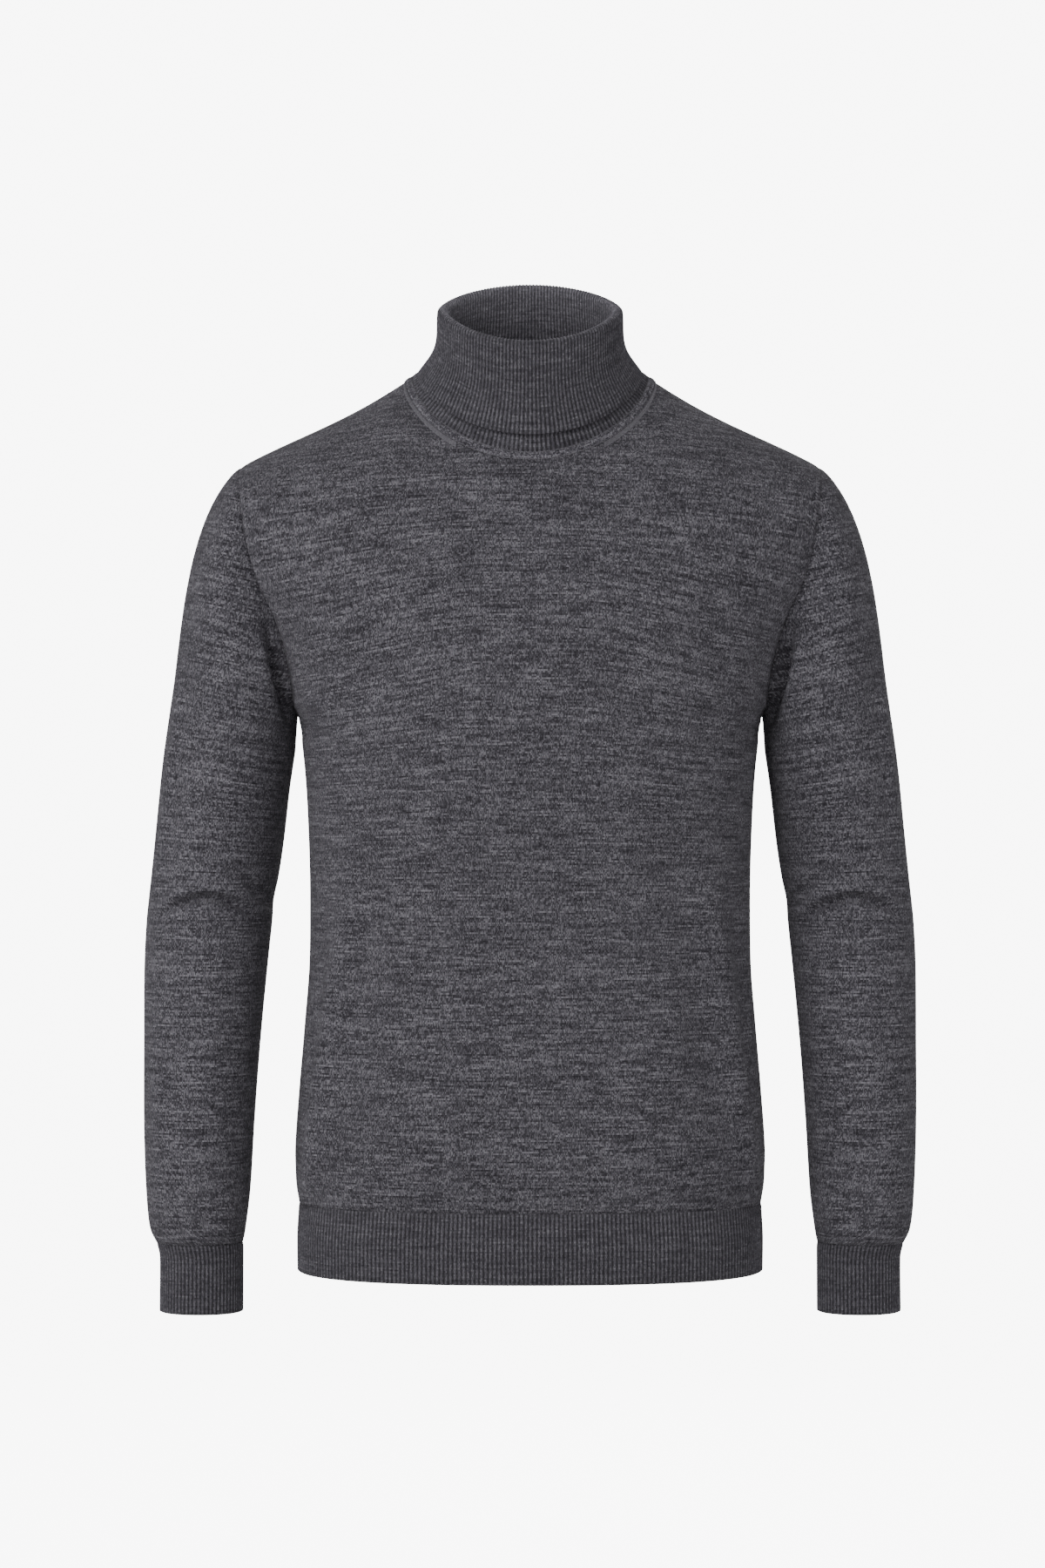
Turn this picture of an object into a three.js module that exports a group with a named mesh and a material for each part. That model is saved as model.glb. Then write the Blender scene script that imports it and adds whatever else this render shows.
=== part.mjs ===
// A fine-knit turtleneck sweater, filled out as it is worn, with nobody inside it. Millimetres, +Z up.
// The front faces -Y. The origin lies in the neck opening, level with the two points where the shoulder
// seams reach the collar, which is where a wearer's shoulders carry the garment.
// Every piece is a closed wall of cloth: an outer skin worked out from the tables below, and an inner
// skin set back from it by the thickness of the knit.
import * as THREE from "three";

// Thicknesses and clearances.
const KNIT = 1.8; // plain knit of the panels and sleeves
const RIB_KNIT = 2.2; // rib knit, measured in the grooves between the ribs
const RIB_RISE = 0.6; // how far a rib stands out of its grooves
const BAND_KNIT = 2.4; // the doubled strip that links the collar to the panels
const BAND_RISE = 0.5; // how far that strip stands out of the panels and the collar beside it
const SEAM = 0.3; // clearance between two pieces at a seam

// Rib counts.
const HEM_RIBS = 146; // on each of the front and the back
const CUFF_RIBS = 64;
const COLLAR_RIBS = 160;

// Facets of the skins.
const NECK_CELLS = 10; // from the centre of a panel to the end of its neckline
const SHOULDER_CELLS = 5; // along a shoulder seam
const SIDE_CELLS = 9; // up a side seam
const ARMHOLE_CELLS = 7; // up one side of an armhole
const CAP_CELLS = 5; // from an armhole to the sleeve's widest ring
const CUFF_INNER_CELLS = 28;
const HEM_INNER_CELLS = 22;

const HEM_LINE = -620; // where the panels end and the hem rib starts
const ARMPIT = -256;
const CUFF_LINE = -649; // where a sleeve ends and its cuff starts
const ROUND_AT_NECK = 110; // drop over which the cloth rolls down from the top, beside the neck
const ROUND_AT_SHOULDER = 72; // the same at the shoulder points
const SHOULDER_DIP = 5.5; // how far a shoulder seam sags below a straight line, nearer the neck
const OVER_NECK = { front: 25, back: 75 }; // height to which the skins would run on over the neck
const SLOPE_AT_NECK = { front: 1, back: 0.5 }; // 1 slopes off the top at once, 0.5 rounds over it
const SIDE_BOXINESS = 2.5; // exponent of the torso's round cross-section
const SHOULDER_SEAM_OFF = 2; // how far the shoulder seam lies in front of and behind the middle at its end
const SLEEVE_BOXINESS = 0.92; // exponent of a sleeve's round cross-section
const ELBOW_SAG = 9; // how far the ends of an elbow's crease hang below its middle
const NECKLINE_FALL = 1.25; // exponent of the neckline's fall from its sides to its front and back
const ARMHOLE_CROWDING = 1.25; // exponent that brings an armhole's cells closer towards the shoulder

// How fast a change fades away from a panel's edge: exponents of the share of the way to that edge.
const FADE = { pull: 5, settle: 9, fold: 12, top: 4 };

// Which way the cloth faces where it meets a seam.
const AT_NECK = { out: 0.62, upAtFront: 0.25, upAtSide: 0.78 };
const AT_SHOULDER = { out: 0.45, up: 0.89 };
const AT_ARMHOLE = { out: 0.62, from: 0.4 }; // it turns outwards from this share of the way up

// The torso below the armpits: half its width, and how far its front and back stand from the side seams.
const TORSO = [
  { z: -671, half: 175.2, front: 112, back: 101 },
  { z: -645, half: 175.4, front: 112, back: 101 },
  { z: -620, half: 174.4, front: 110, back: 99 },
  { z: -602, half: 177.4, front: 113.5, back: 103.5 },
  { z: -580, half: 178.4, front: 115, back: 106 },
  { z: -540, half: 175.8, front: 113, back: 103 },
  { z: -490, half: 171.4, front: 110, back: 95 },
  { z: -440, half: 167.2, front: 108, back: 90 },
  { z: -390, half: 166.4, front: 109, back: 90 },
  { z: -345, half: 167.4, front: 113, back: 96 },
  { z: -300, half: 169.8, front: 117, back: 104 },
  { z: -256, half: 174.6, front: 119, back: 110 },
];

// The skin above the armpits, before the armholes draw its edges in.
const YOKE = [
  { z: -256, half: 174.6, front: 119, back: 110 },
  { z: -243, half: 179, front: 119, back: 112 },
  { z: -213, half: 188, front: 118, back: 114 },
  { z: -183, half: 201, front: 116, back: 115 },
  { z: -155, half: 221, front: 111.5, back: 114 },
  { z: -124, half: 240, front: 103, back: 111 },
  { z: -94, half: 259, front: 93, back: 105 },
  { z: -60, half: 274, front: 83, back: 97 },
  { z: -20, half: 280, front: 75, back: 86 },
  { z: 20, half: 280, front: 70, back: 78 },
];

// The armhole seam on the wearer's left, from the armpit (0) to the shoulder point (1).
const ARMHOLE = [
  { at: 0, x: 176, z: -256, front: 0, back: 0 },
  { at: 1 / 8, x: 178, z: -243, front: 28, back: 30 },
  { at: 2 / 8, x: 182.5, z: -213, front: 40, back: 43 },
  { at: 3 / 8, x: 190.5, z: -183, front: 50, back: 54 },
  { at: 4 / 8, x: 203, z: -155, front: 58, back: 62 },
  { at: 5 / 8, x: 211.5, z: -124, front: 61, back: 65 },
  { at: 6 / 8, x: 216.5, z: -94, front: 54, back: 59 },
  { at: 7 / 8, x: 219.2, z: -74, front: 31, back: 36 },
  { at: 1, x: 220.4, z: -65.5, front: -2, back: 2 },
];

// The neck, level by level from the panels' edge to the fold at the top: half its width, where its
// front, sides and back lie, and their heights.
const NECK_EDGE = { half: 95, front: -80, side: 8, back: 70, sideZ: 0, frontZ: -66, backZ: 0 };
const COLLAR_SEAM = { half: 89.9, front: -77, side: 8, back: 67, sideZ: 3.5, frontZ: -60.4, backZ: 8.6 };
const STAND = [
  { at: 0, half: 89.6, front: -76.8, side: 8, back: 66.8, sideZ: 3.7, frontZ: -60.1, backZ: 8.9 },
  { at: 0.22, half: 77, front: -74.6, side: 5.5, back: 64.4, sideZ: 11, frontZ: -44, backZ: 23 },
  { at: 0.4, half: 70, front: -72, side: 2.5, back: 61.5, sideZ: 20, frontZ: -28, backZ: 37 },
  { at: 0.7, half: 66.2, front: -68.5, side: -2, back: 56.5, sideZ: 34, frontZ: -6, backZ: 56 },
  { at: 1, half: 65.3, front: -66.3, side: -6, back: 53.8, sideZ: 50, frontZ: 18, backZ: 74.5 },
];
const FOLD = { half: 67.4, front: -68, side: -6, back: 55.5, sideZ: 55, frontZ: 22.6, backZ: 79.1 };
const ROLL = [
  { at: 1, half: 69.7, front: -70.8, side: -6, back: 58.2, sideZ: 50, frontZ: 18, backZ: 74.5 },
  { at: 0.5, half: 72, front: -76.2, side: 1, back: 65, sideZ: 25.5, frontZ: -17, backZ: 43 },
  { at: 0, half: 85.5, front: -81.8, side: 7, back: 72.4, sideZ: 5.6, frontZ: -47.4, backZ: 15.5 },
];

// A sleeve from its widest ring to its cuff: the inner and outer edge of each ring, the middle of its
// depth and half that depth.
const SLEEVE = [
  { innerX: 178.3, innerZ: -282, outerX: 270.3, outerZ: -234, mid: 2, deep: 63 },
  { innerX: 182.7, innerZ: -312, outerX: 278.1, outerZ: -287, mid: 4, deep: 62 },
  { innerX: 186.9, innerZ: -348, outerX: 283.7, outerZ: -340, mid: 6, deep: 60 },
  { innerX: 191.1, innerZ: -376, outerX: 287.1, outerZ: -374, mid: 6, deep: 58.5 },
  { innerX: 194.7, innerZ: -393, outerX: 289.1, outerZ: -392, mid: 5.5, deep: 57.5 },
  { innerX: 195.7, innerZ: -409, outerX: 290.7, outerZ: -409, mid: 4.5, deep: 57 },
  { innerX: 198.9, innerZ: -442, outerX: 291.9, outerZ: -442, mid: 0, deep: 55.5 },
  { innerX: 203.9, innerZ: -500, outerX: 291.5, outerZ: -500, mid: -8, deep: 51.5 },
  { innerX: 207.9, innerZ: -560, outerX: 290.9, outerZ: -560, mid: -15, deep: 47 },
  { innerX: 210.5, innerZ: -610, outerX: 288.7, outerZ: -610, mid: -21, deep: 42.5 },
  { innerX: 213.7, innerZ: -638, outerX: 285.7, outerZ: -638, mid: -24, deep: 38.5 },
  { innerX: 215.3, innerZ: -649, outerX: 281.1, outerZ: -649, mid: -25, deep: 33 },
];
const CUFF = { innerX: 215.4, outerX: 278, mid: -28, deep: 28.6, end: -700 };
const CUFF_NECK = { below: 12, mid: -25.6 }; // where the cuff has drawn in under the sleeve

// How a sleeve leaves its armhole, by the share of the way round from the shoulder point to the armpit:
// the direction (out to the side, away from the seam's middle, up) and the pull at both ends.
const CAP = [
  { at: 0, side: 0.74, away: 0, up: -0.67, start: 165, end: 140 },
  { at: 0.25, side: 0.74, away: 0.12, up: -0.66, start: 110, end: 130 },
  { at: 0.5, side: 0.8, away: 0.22, up: -0.56, start: 60, end: 90 },
  { at: 0.75, side: 0.76, away: 0.5, up: -0.42, start: 34, end: 50 },
  { at: 1, side: 0.12, away: 0, up: -0.99, start: 14, end: 16 },
];

// The largest folds of the torso, seen from the front: a soft ridge (+) or trough (-) from one point to
// another on the wearer's left, with its width. The other side and the back have them mirrored.
const TORSO_FOLDS = [
  { x0: 148, z0: -372, x1: 167, z1: -606, rise: 4.2, wide: 11 },
  { x0: 165, z0: -400, x1: 175, z1: -600, rise: -3.6, wide: 8 },
  { x0: 118, z0: -420, x1: 146, z1: -600, rise: -2.2, wide: 16 },
];

// The crease inside each elbow and the swell of the forearm under it: height, angle round the sleeve
// from its front, reach either way, rise and width.
const ELBOW_FOLDS = [
  { z: -391, turn: 0, reach: 0.95, rise: -5.5, wide: 10 },
  { z: -409, turn: 0.1, reach: 1.1, rise: 2.5, wide: 12 },
  { z: -400, turn: Math.PI, reach: 0.8, rise: 2.2, wide: 16 },
];

const vec = (x, y, z) => new THREE.Vector3(x, y, z);
const lerp = THREE.MathUtils.lerp;
const clamp = THREE.MathUtils.clamp;
const smooth = (t) => THREE.MathUtils.smoothstep(t, 0, 1);

// Reads one column of a table between its rows, on a smooth curve through them.
function read(table, key, column, at) {
  const rows = table[0][key] < table.at(-1)[key] ? table : [...table].reverse();
  const last = rows.length - 1;
  const place = clamp(at, rows[0][key], rows[last][key]);
  let i = rows.findIndex((row, n) => n < last && place <= rows[n + 1][key]);
  if (i < 0) i = last - 1;
  const slope = (n) => {
    const low = rows[Math.max(n - 1, 0)];
    const high = rows[Math.min(n + 1, last)];
    return (high[column] - low[column]) / (high[key] - low[key]);
  };
  const a = rows[i];
  const b = rows[i + 1];
  const span = b[key] - a[key];
  const t = (place - a[key]) / span;
  const t2 = t * t;
  const t3 = t2 * t;
  return (
    (2 * t3 - 3 * t2 + 1) * a[column] +
    (t3 - 2 * t2 + t) * span * slope(i) +
    (3 * t2 - 2 * t3) * b[column] +
    (t3 - t2) * span * slope(i + 1)
  );
}

// A closed mesh under construction.
class Cloth {
  constructor() {
    this.points = [];
    this.faces = [];
  }
  line(points) {
    return points.map((p) => this.points.push(p.x, p.y, p.z) / 3 - 1);
  }
  // Fills between two lines of points, which may have different counts. Closed lines join end to start.
  fill(a, b, closed = false) {
    const first = closed ? [...a, a[0]] : a;
    const second = closed ? [...b, b[0]] : b;
    let i = 0;
    let j = 0;
    while (i < first.length - 1 || j < second.length - 1) {
      const nextI = (i + 1) / (first.length - 1);
      const nextJ = (j + 1) / (second.length - 1);
      const onFirst = j === second.length - 1 || (i < first.length - 1 && nextI <= nextJ);
      if (onFirst) this.faces.push(first[i], first[i + 1], second[j]);
      else this.faces.push(first[i], second[j + 1], second[j]);
      if (onFirst) i += 1;
      else j += 1;
    }
  }
  mesh(name, material) {
    const p = this.points;
    let volume = 0;
    for (let n = 0; n < this.faces.length; n += 3) {
      const [a, b, c] = [0, 1, 2].map((k) => vec().fromArray(p, 3 * this.faces[n + k]));
      volume += a.dot(b.cross(c));
    }
    if (volume < 0) this.faces.reverse();
    const geometry = new THREE.BufferGeometry();
    geometry.setAttribute("position", new THREE.Float32BufferAttribute(p, 3));
    geometry.setIndex(this.faces);
    geometry.computeVertexNormals();
    const mesh = new THREE.Mesh(geometry, material);
    mesh.name = name;
    return mesh;
  }
}

// A tube of cloth from loops of points that run out along one skin and back along the other.
function tube(name, material, loops) {
  const cloth = new Cloth();
  const lines = loops.map((loop) => cloth.line(loop));
  lines.forEach((line, n) => cloth.fill(line, lines[(n + 1) % lines.length], true));
  return cloth.mesh(name, material);
}

// A panel of cloth from rows of points on its outer and its inner skin.
function panel(name, material, outer, inner) {
  const cloth = new Cloth();
  const out = outer.map((row) => cloth.line(row));
  const back = inner.map((row) => cloth.line(row).reverse());
  for (let n = 0; n < out.length - 1; n += 1) {
    cloth.fill([...out[n], ...back[n]], [...out[n + 1], ...back[n + 1]], true);
  }
  cloth.fill([...back[0]].reverse(), out[0]);
  cloth.fill(out.at(-1), [...back.at(-1)].reverse());
  return cloth.mesh(name, material);
}

// Normals of a grid of points, from its neighbours. Rows of a tube wrap round.
function gridNormals(grid, wraps) {
  const rows = grid.length;
  return grid.map((row, i) =>
    row.map((_, j) => {
      const count = row.length;
      const before = wraps ? (j + count - 1) % count : Math.max(j - 1, 0);
      const after = wraps ? (j + 1) % count : Math.min(j + 1, count - 1);
      const along = row[after].clone().sub(row[before]);
      const up = grid[Math.min(i + 1, rows - 1)][j].clone().sub(grid[Math.max(i - 1, 0)][j]);
      return along.cross(up).normalize();
    }),
  );
}

// A line of points moved back along its normals, for the far side of the cloth.
const setBack = (points, normals, by) => points.map((p, j) => p.clone().addScaledVector(normals[j], -by));

// The height of the shoulder line over a point. Over the neck it runs on to where the skins would meet.
function shoulderHeight(facing, x) {
  const out = Math.abs(x);
  const end = ARMHOLE.at(-1);
  const slope = (NECK_EDGE.sideZ - end.z) / (end.x - NECK_EDGE.half);
  if (out >= NECK_EDGE.half) {
    const run = Math.min((out - NECK_EDGE.half) / (end.x - NECK_EDGE.half), 1);
    const sag = SHOULDER_DIP * Math.sin(Math.PI * run) * (1 - run);
    return NECK_EDGE.sideZ - slope * (out - NECK_EDGE.half) - sag;
  }
  const t = 1 - out / NECK_EDGE.half;
  const rise = slope * NECK_EDGE.half;
  return NECK_EDGE.sideZ + rise * t * (1 - t) ** 2 + OVER_NECK[facing] * t * t * (3 - 2 * t);
}

// How far the torso's folds lift its skin at a point seen from the front.
function foldRise(x, z) {
  let rise = 0;
  for (const fold of TORSO_FOLDS) {
    const along = vec(fold.x1 - fold.x0, 0, fold.z1 - fold.z0);
    const length = along.length();
    const from = vec(Math.abs(x) - fold.x0, 0, z - fold.z0);
    const t = from.dot(along) / length ** 2;
    const off = Math.sqrt(Math.max(from.lengthSq() - (t * length) ** 2, 0));
    const ends = Math.sin(Math.PI * clamp(t, 0, 1));
    rise += fold.rise * ends * Math.exp(-((off / fold.wide) ** 2));
  }
  return rise;
}

// The depth of the skin at a point seen from the front: facing is "front" or "back".
function skinDepth(facing, x, z) {
  const table = z < ARMPIT ? TORSO : YOKE;
  const half = read(table, "z", "half", z);
  const deep = read(table, "z", facing, z);
  const share = clamp(Math.abs(x) / half, 0, 1);
  const round = (1 - share ** SIDE_BOXINESS) ** (1 / SIDE_BOXINESS);
  const along = smooth(Math.abs(x) / ARMHOLE.at(-1).x);
  const drop = lerp(ROUND_AT_NECK, ROUND_AT_SHOULDER, along);
  const under = clamp((shoulderHeight(facing, x) - z) / drop, 0, 1);
  const rolled = (under * (2 - under)) ** lerp(SLOPE_AT_NECK[facing], 0.5, along);
  const seam = facing === "front" ? -SHOULDER_SEAM_OFF : SHOULDER_SEAM_OFF;
  return seam + (deep * round - seam) * rolled;
}

// Half-widths that share out a torso section evenly along its length.
function evenHalves(facing, z, shares) {
  const half = read(TORSO, "z", "half", z);
  const steps = 240;
  const xs = [];
  const lengths = [0];
  for (let n = 0; n <= steps; n += 1) {
    xs.push(half * Math.sin((Math.PI / 2) * (n / steps)));
    if (n === 0) continue;
    const rise = skinDepth(facing, xs[n], z) - skinDepth(facing, xs[n - 1], z);
    lengths.push(lengths[n - 1] + Math.hypot(xs[n] - xs[n - 1], rise));
  }
  return shares.map((share) => {
    const target = share * lengths[steps];
    const n = clamp(lengths.findIndex((l) => l >= target), 1, steps);
    const t = (target - lengths[n - 1]) / (lengths[n] - lengths[n - 1]);
    return lerp(xs[n - 1], xs[n], t);
  });
}

// A point of the neck: turn 0 is the wearer's left side, a quarter on is the back.
function neckPoint(level, turn) {
  const [cos, sin] = [Math.cos(turn), Math.sin(turn)];
  const end = sin < 0 ? "front" : "back";
  const across = Math.abs(sin);
  return vec(
    level.half * cos,
    lerp(level.side, level[end], across),
    lerp(level.sideZ, level[`${end}Z`], across ** NECKLINE_FALL),
  );
}

// Which way the cloth faces along the seam at the neck.
function neckFacing(turn) {
  const up = lerp(AT_NECK.upAtFront, AT_NECK.upAtSide, Math.cos(turn) ** 2);
  return vec(AT_NECK.out * Math.cos(turn), Math.sin(turn), up).normalize();
}

// Which way the cloth faces along an armhole: share 0 is the armpit and 1 the shoulder point.
function armholeFacing(facing, side, share) {
  const angle = Math.PI * share;
  const away = facing === "front" ? -1 : 1;
  const tilt = AT_ARMHOLE.out * smooth((share - AT_ARMHOLE.from) / (1 - AT_ARMHOLE.from));
  return vec(side * tilt, away * Math.sin(angle), -Math.cos(angle)).normalize();
}

// How far up an armhole the end of a cell lies. The cells get shorter towards the shoulder.
const armholeShare = (cell) => 1 - (1 - cell / ARMHOLE_CELLS) ** ARMHOLE_CROWDING;

// A point of the armhole seam, before the clearance of the seam is taken off.
function armholePoint(facing, side, share) {
  const at = (column) => read(ARMHOLE, "at", column, share);
  return vec(side * at("x"), at(facing) * (facing === "front" ? -1 : 1), at("z"));
}

// How far round the neck a cell of a panel's neckline ends.
function neckTurn(facing, cell) {
  const away = facing === "front" ? -1 : 1;
  return ((away * Math.PI) / 2) * (1 - cell / NECK_CELLS);
}

// The outer skin of the front or back panel: rows from the hem line to the shoulders and the neck.
function panelSkin(facing) {
  const away = facing === "front" ? -1 : 1;
  const cells = NECK_CELLS + SHOULDER_CELLS;
  const shares = Array.from({ length: cells + 1 }, (_, j) => j / cells);
  const seamY = (away * SEAM) / 2;
  const rows = [];
  for (let i = 0; i <= SIDE_CELLS; i += 1) {
    const z = lerp(HEM_LINE + SEAM / 2, ARMPIT, i / SIDE_CELLS);
    rows.push(evenHalves(facing, z, shares).map((x, j) => {
      const off = skinDepth(facing, x, z) + foldRise(x, z) * (1 - shares[j] ** FADE.fold);
      return vec(x, away * (j === cells ? 0 : off) + seamY, z);
    }));
  }
  const base = rows.at(-1);
  const tops = shares.map((_, j) => {
    if (j <= NECK_CELLS) return neckPoint(NECK_EDGE, neckTurn(facing, j));
    const along = (j - NECK_CELLS) / SHOULDER_CELLS;
    const x = lerp(NECK_EDGE.half, ARMHOLE.at(-1).x, along);
    return vec(x, lerp(NECK_EDGE.side, SHOULDER_SEAM_OFF, along), shoulderHeight(facing, x));
  });
  const corner = armholePoint(facing, 1, 1);
  const atCorner = corner.y * away - skinDepth(facing, corner.x, corner.z);
  for (let i = 1; i <= ARMHOLE_CELLS; i += 1) {
    const w = armholeShare(i);
    const edge = armholePoint(facing, 1, w);
    const straight = base.at(-1).clone().lerp(tops.at(-1), w);
    rows.push(base.map((from, j) => {
      const to = tops[j];
      const pull = shares[j] ** FADE.pull;
      const x = lerp(from.x, to.x, w) + pull * (edge.x - straight.x);
      const z = lerp(from.z, to.z, w) + pull * (edge.z - straight.z);
      const skin = skinDepth(facing, x, z) + foldRise(x, z) * (1 - shares[j] ** FADE.fold);
      const atEdge = edge.y * away - skinDepth(facing, edge.x, edge.z);
      const atTop = to.y * away - skinDepth(facing, to.x, to.z);
      const settle = w ** FADE.top * atTop + shares[j] ** FADE.settle * (atEdge - w ** FADE.top * atCorner);
      return vec(x, away * (skin + settle) + seamY, z);
    }));
  }
  return rows.map((row) => [
    ...row.slice(1).reverse().map((p) => vec(-p.x, p.y, p.z)),
    ...row,
  ]);
}

// Which way the cloth faces at a point of a panel's edge, or undefined where the skin's own normal holds.
function edgeFacing(facing, row, column) {
  const middle = NECK_CELLS + SHOULDER_CELLS;
  const side = Math.sign(column - middle) || 1;
  const out = Math.abs(column - middle);
  if (out === middle && row < SIDE_CELLS) return vec(side, 0, 0);
  if (out === middle) return armholeFacing(facing, side, armholeShare(row - SIDE_CELLS));
  if (row < SIDE_CELLS + ARMHOLE_CELLS) return undefined;
  if (out >= NECK_CELLS) return vec(side * AT_SHOULDER.out, 0, AT_SHOULDER.up).normalize();
  const atNeck = neckFacing(neckTurn(facing, out));
  return atNeck.setX(side * atNeck.x);
}

function makePanel(facing, material) {
  const outer = panelSkin(facing);
  const outwards = facing === "front" ? 1 : -1;
  const normals = gridNormals(outer, false).map((row, i) => row.map((normal, j) => {
    const out = edgeFacing(facing, i, j) ?? normal.multiplyScalar(outwards);
    return i === 0 ? out.setZ(0).normalize() : out;
  }));
  const inner = outer.map((row, i) => setBack(row, normals[i], KNIT));
  return panel(`${facing}_panel`, material, outer, inner);
}

// Zigzag points of a ribbed skin: two to a rib, alternately in a groove and on a rib.
const ribRise = (n) => (n % 2 ? RIB_RISE : 0);

// The ribbed hem of the front or the back, with its ribs raised on the outside only.
function makeHem(facing, material) {
  const away = facing === "front" ? -1 : 1;
  const levels = [TORSO[0].z, HEM_LINE - SEAM / 2];
  const skin = (count, lift) => levels.map((z) => {
    const shares = Array.from({ length: count + 1 }, (_, n) => Math.abs((2 * n) / count - 1));
    const xs = evenHalves(facing, z, shares);
    const half = read(TORSO, "z", "half", z);
    return shares.map((_, n) => {
      const x = xs[n] * Math.sign(n - count / 2);
      const y = away * skinDepth(facing, xs[n], z) + (away * SEAM) / 2;
      const steep = (xs[n] / half) ** 3;
      const out = vec(Math.sign(x) * steep, away * (1 - steep), 0).normalize();
      if (n === 0 || n === count) out.set(Math.sign(x), 0, 0);
      const edge = n === 0 || n === count ? (away * SEAM) / 2 : y;
      return vec(x, edge, z).addScaledVector(out, lift(n));
    });
  });
  const outer = skin(2 * HEM_RIBS, ribRise);
  const inner = skin(HEM_INNER_CELLS, () => -RIB_KNIT);
  return panel(`hem_rib_${facing}`, material, outer, inner);
}

// A ring of a sleeve or cuff on the wearer's left: turn 0 is outwards and a quarter on is the front.
function sleeveRing(row, turn) {
  const t = (1 + Math.cos(turn)) / 2;
  const depth = Math.sign(Math.sin(turn)) * Math.abs(Math.sin(turn)) ** SLEEVE_BOXINESS;
  return vec(lerp(row.innerX, row.outerX, t), row.mid - row.deep * depth, lerp(row.innerZ, row.outerZ, t));
}

// How far the creases at the elbow lift the sleeve's skin.
function elbowRise(turn, z) {
  let rise = 0;
  for (const fold of ELBOW_FOLDS) {
    const ahead = Math.PI / 2 - fold.turn;
    const away = Math.atan2(Math.sin(turn - ahead), Math.cos(turn - ahead));
    const ends = Math.max(Math.cos((Math.PI / 2) * clamp(away / fold.reach, -1, 1)), 0);
    const sag = ELBOW_SAG * (away / fold.reach) ** 2;
    rise += fold.rise * ends * Math.exp(-(((z - fold.z + sag) / fold.wide) ** 2));
  }
  return rise;
}

// The outer skin of the left sleeve: rings of points from the armhole down to the cuff line.
function sleeveSkin() {
  const count = 2 * ARMHOLE_CELLS * 2;
  const turns = Array.from({ length: count }, (_, n) => (2 * Math.PI * n) / count);
  const armhole = turns.map((turn, n) => {
    const front = turn < Math.PI;
    const facing = front ? "front" : "back";
    const round = front ? turn / Math.PI : 2 - turn / Math.PI;
    const cell = (1 - round) * ARMHOLE_CELLS;
    const [low, high] = [Math.floor(cell + 1e-9), Math.ceil(cell - 1e-9)];
    const at = (k) => armholePoint(facing, 1, armholeShare(k));
    const point = at(low).lerp(at(high), cell - low);
    if (front && n > 0) point.y -= SEAM / 2;
    if (!front) point.y += SEAM / 2;
    const share = armholeShare(cell);
    return { facing, point, share, normal: armholeFacing(facing, 1, share) };
  });
  const start = armhole.map(({ point, normal }, n) => {
    const next = armhole[(n + 1) % count].point;
    const before = armhole[(n + count - 1) % count].point;
    const across = next.clone().sub(before).cross(normal).normalize();
    if (across.x < 0) across.negate();
    return point.clone().addScaledVector(across, SEAM);
  });
  const rows = [start];
  for (let i = 1; i <= CAP_CELLS; i += 1) {
    const t = i / CAP_CELLS;
    rows.push(turns.map((turn, n) => {
      const { facing, share } = armhole[n];
      const at = (column) => read(CAP, "at", column, 1 - share);
      const away = facing === "front" ? -1 : 1;
      const leave = vec(at("side"), away * at("away"), at("up")).normalize();
      const end = sleeveRing(SLEEVE[0], turn);
      const down = sleeveRing(SLEEVE[1], turn).sub(end).normalize();
      const t2 = t * t;
      const t3 = t2 * t;
      return start[n].clone().multiplyScalar(2 * t3 - 3 * t2 + 1)
        .addScaledVector(leave, (t3 - 2 * t2 + t) * at("start"))
        .addScaledVector(end, 3 * t2 - 2 * t3)
        .addScaledVector(down, (t3 - t2) * at("end"));
    }));
  }
  for (const row of SLEEVE.slice(1)) {
    rows.push(turns.map((turn) => {
      const p = sleeveRing(row, turn);
      const rise = elbowRise(turn, p.z);
      const out = vec(Math.cos(turn), -Math.sin(turn), 0);
      return p.addScaledVector(out, rise);
    }));
  }
  return { rows, facings: armhole.map((a) => a.normal) };
}

// The loops of a piece made for the wearer's left, or their mirror image for the right (side -1).
function mirrored(loops, side) {
  return side > 0 ? loops : loops.map((loop) => loop.map((p) => vec(-p.x, p.y, p.z)));
}

function makeSleeve(name, side, material) {
  const { rows, facings } = sleeveSkin();
  rows.at(-1).forEach((p) => { p.z += SEAM / 2; });
  const normals = gridNormals(rows, true);
  normals[0] = facings;
  normals[1].forEach((n, j) => n.add(facings[j]).normalize());
  normals.at(-1).forEach((n) => n.setZ(0).normalize());
  const inner = rows.map((row, i) => setBack(row, normals[i], KNIT));
  return tube(name, material, mirrored([...rows, ...inner.reverse()], side));
}

function makeCuff(name, side, material) {
  const top = { ...SLEEVE.at(-1), innerZ: CUFF_LINE - SEAM / 2, outerZ: CUFF_LINE - SEAM / 2 };
  const bottom = { ...CUFF, innerZ: CUFF.end, outerZ: CUFF.end };
  const neckZ = CUFF_LINE - CUFF_NECK.below;
  const narrow = { ...bottom, innerZ: neckZ, outerZ: neckZ, mid: CUFF_NECK.mid };
  const loop = (row, count, lift) => Array.from({ length: count }, (_, n) => {
    const turn = (2 * Math.PI * n) / count;
    return sleeveRing(row, turn).addScaledVector(vec(Math.cos(turn), -Math.sin(turn), 0), lift(n));
  });
  const outer = [top, narrow, bottom].map((row) => loop(row, 2 * CUFF_RIBS, (n) => ribRise(n) - RIB_RISE));
  const inner = [bottom, narrow, top].map((row) => loop(row, CUFF_INNER_CELLS, () => -RIB_KNIT - RIB_RISE));
  return tube(name, material, mirrored([...outer, ...inner], side));
}

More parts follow.
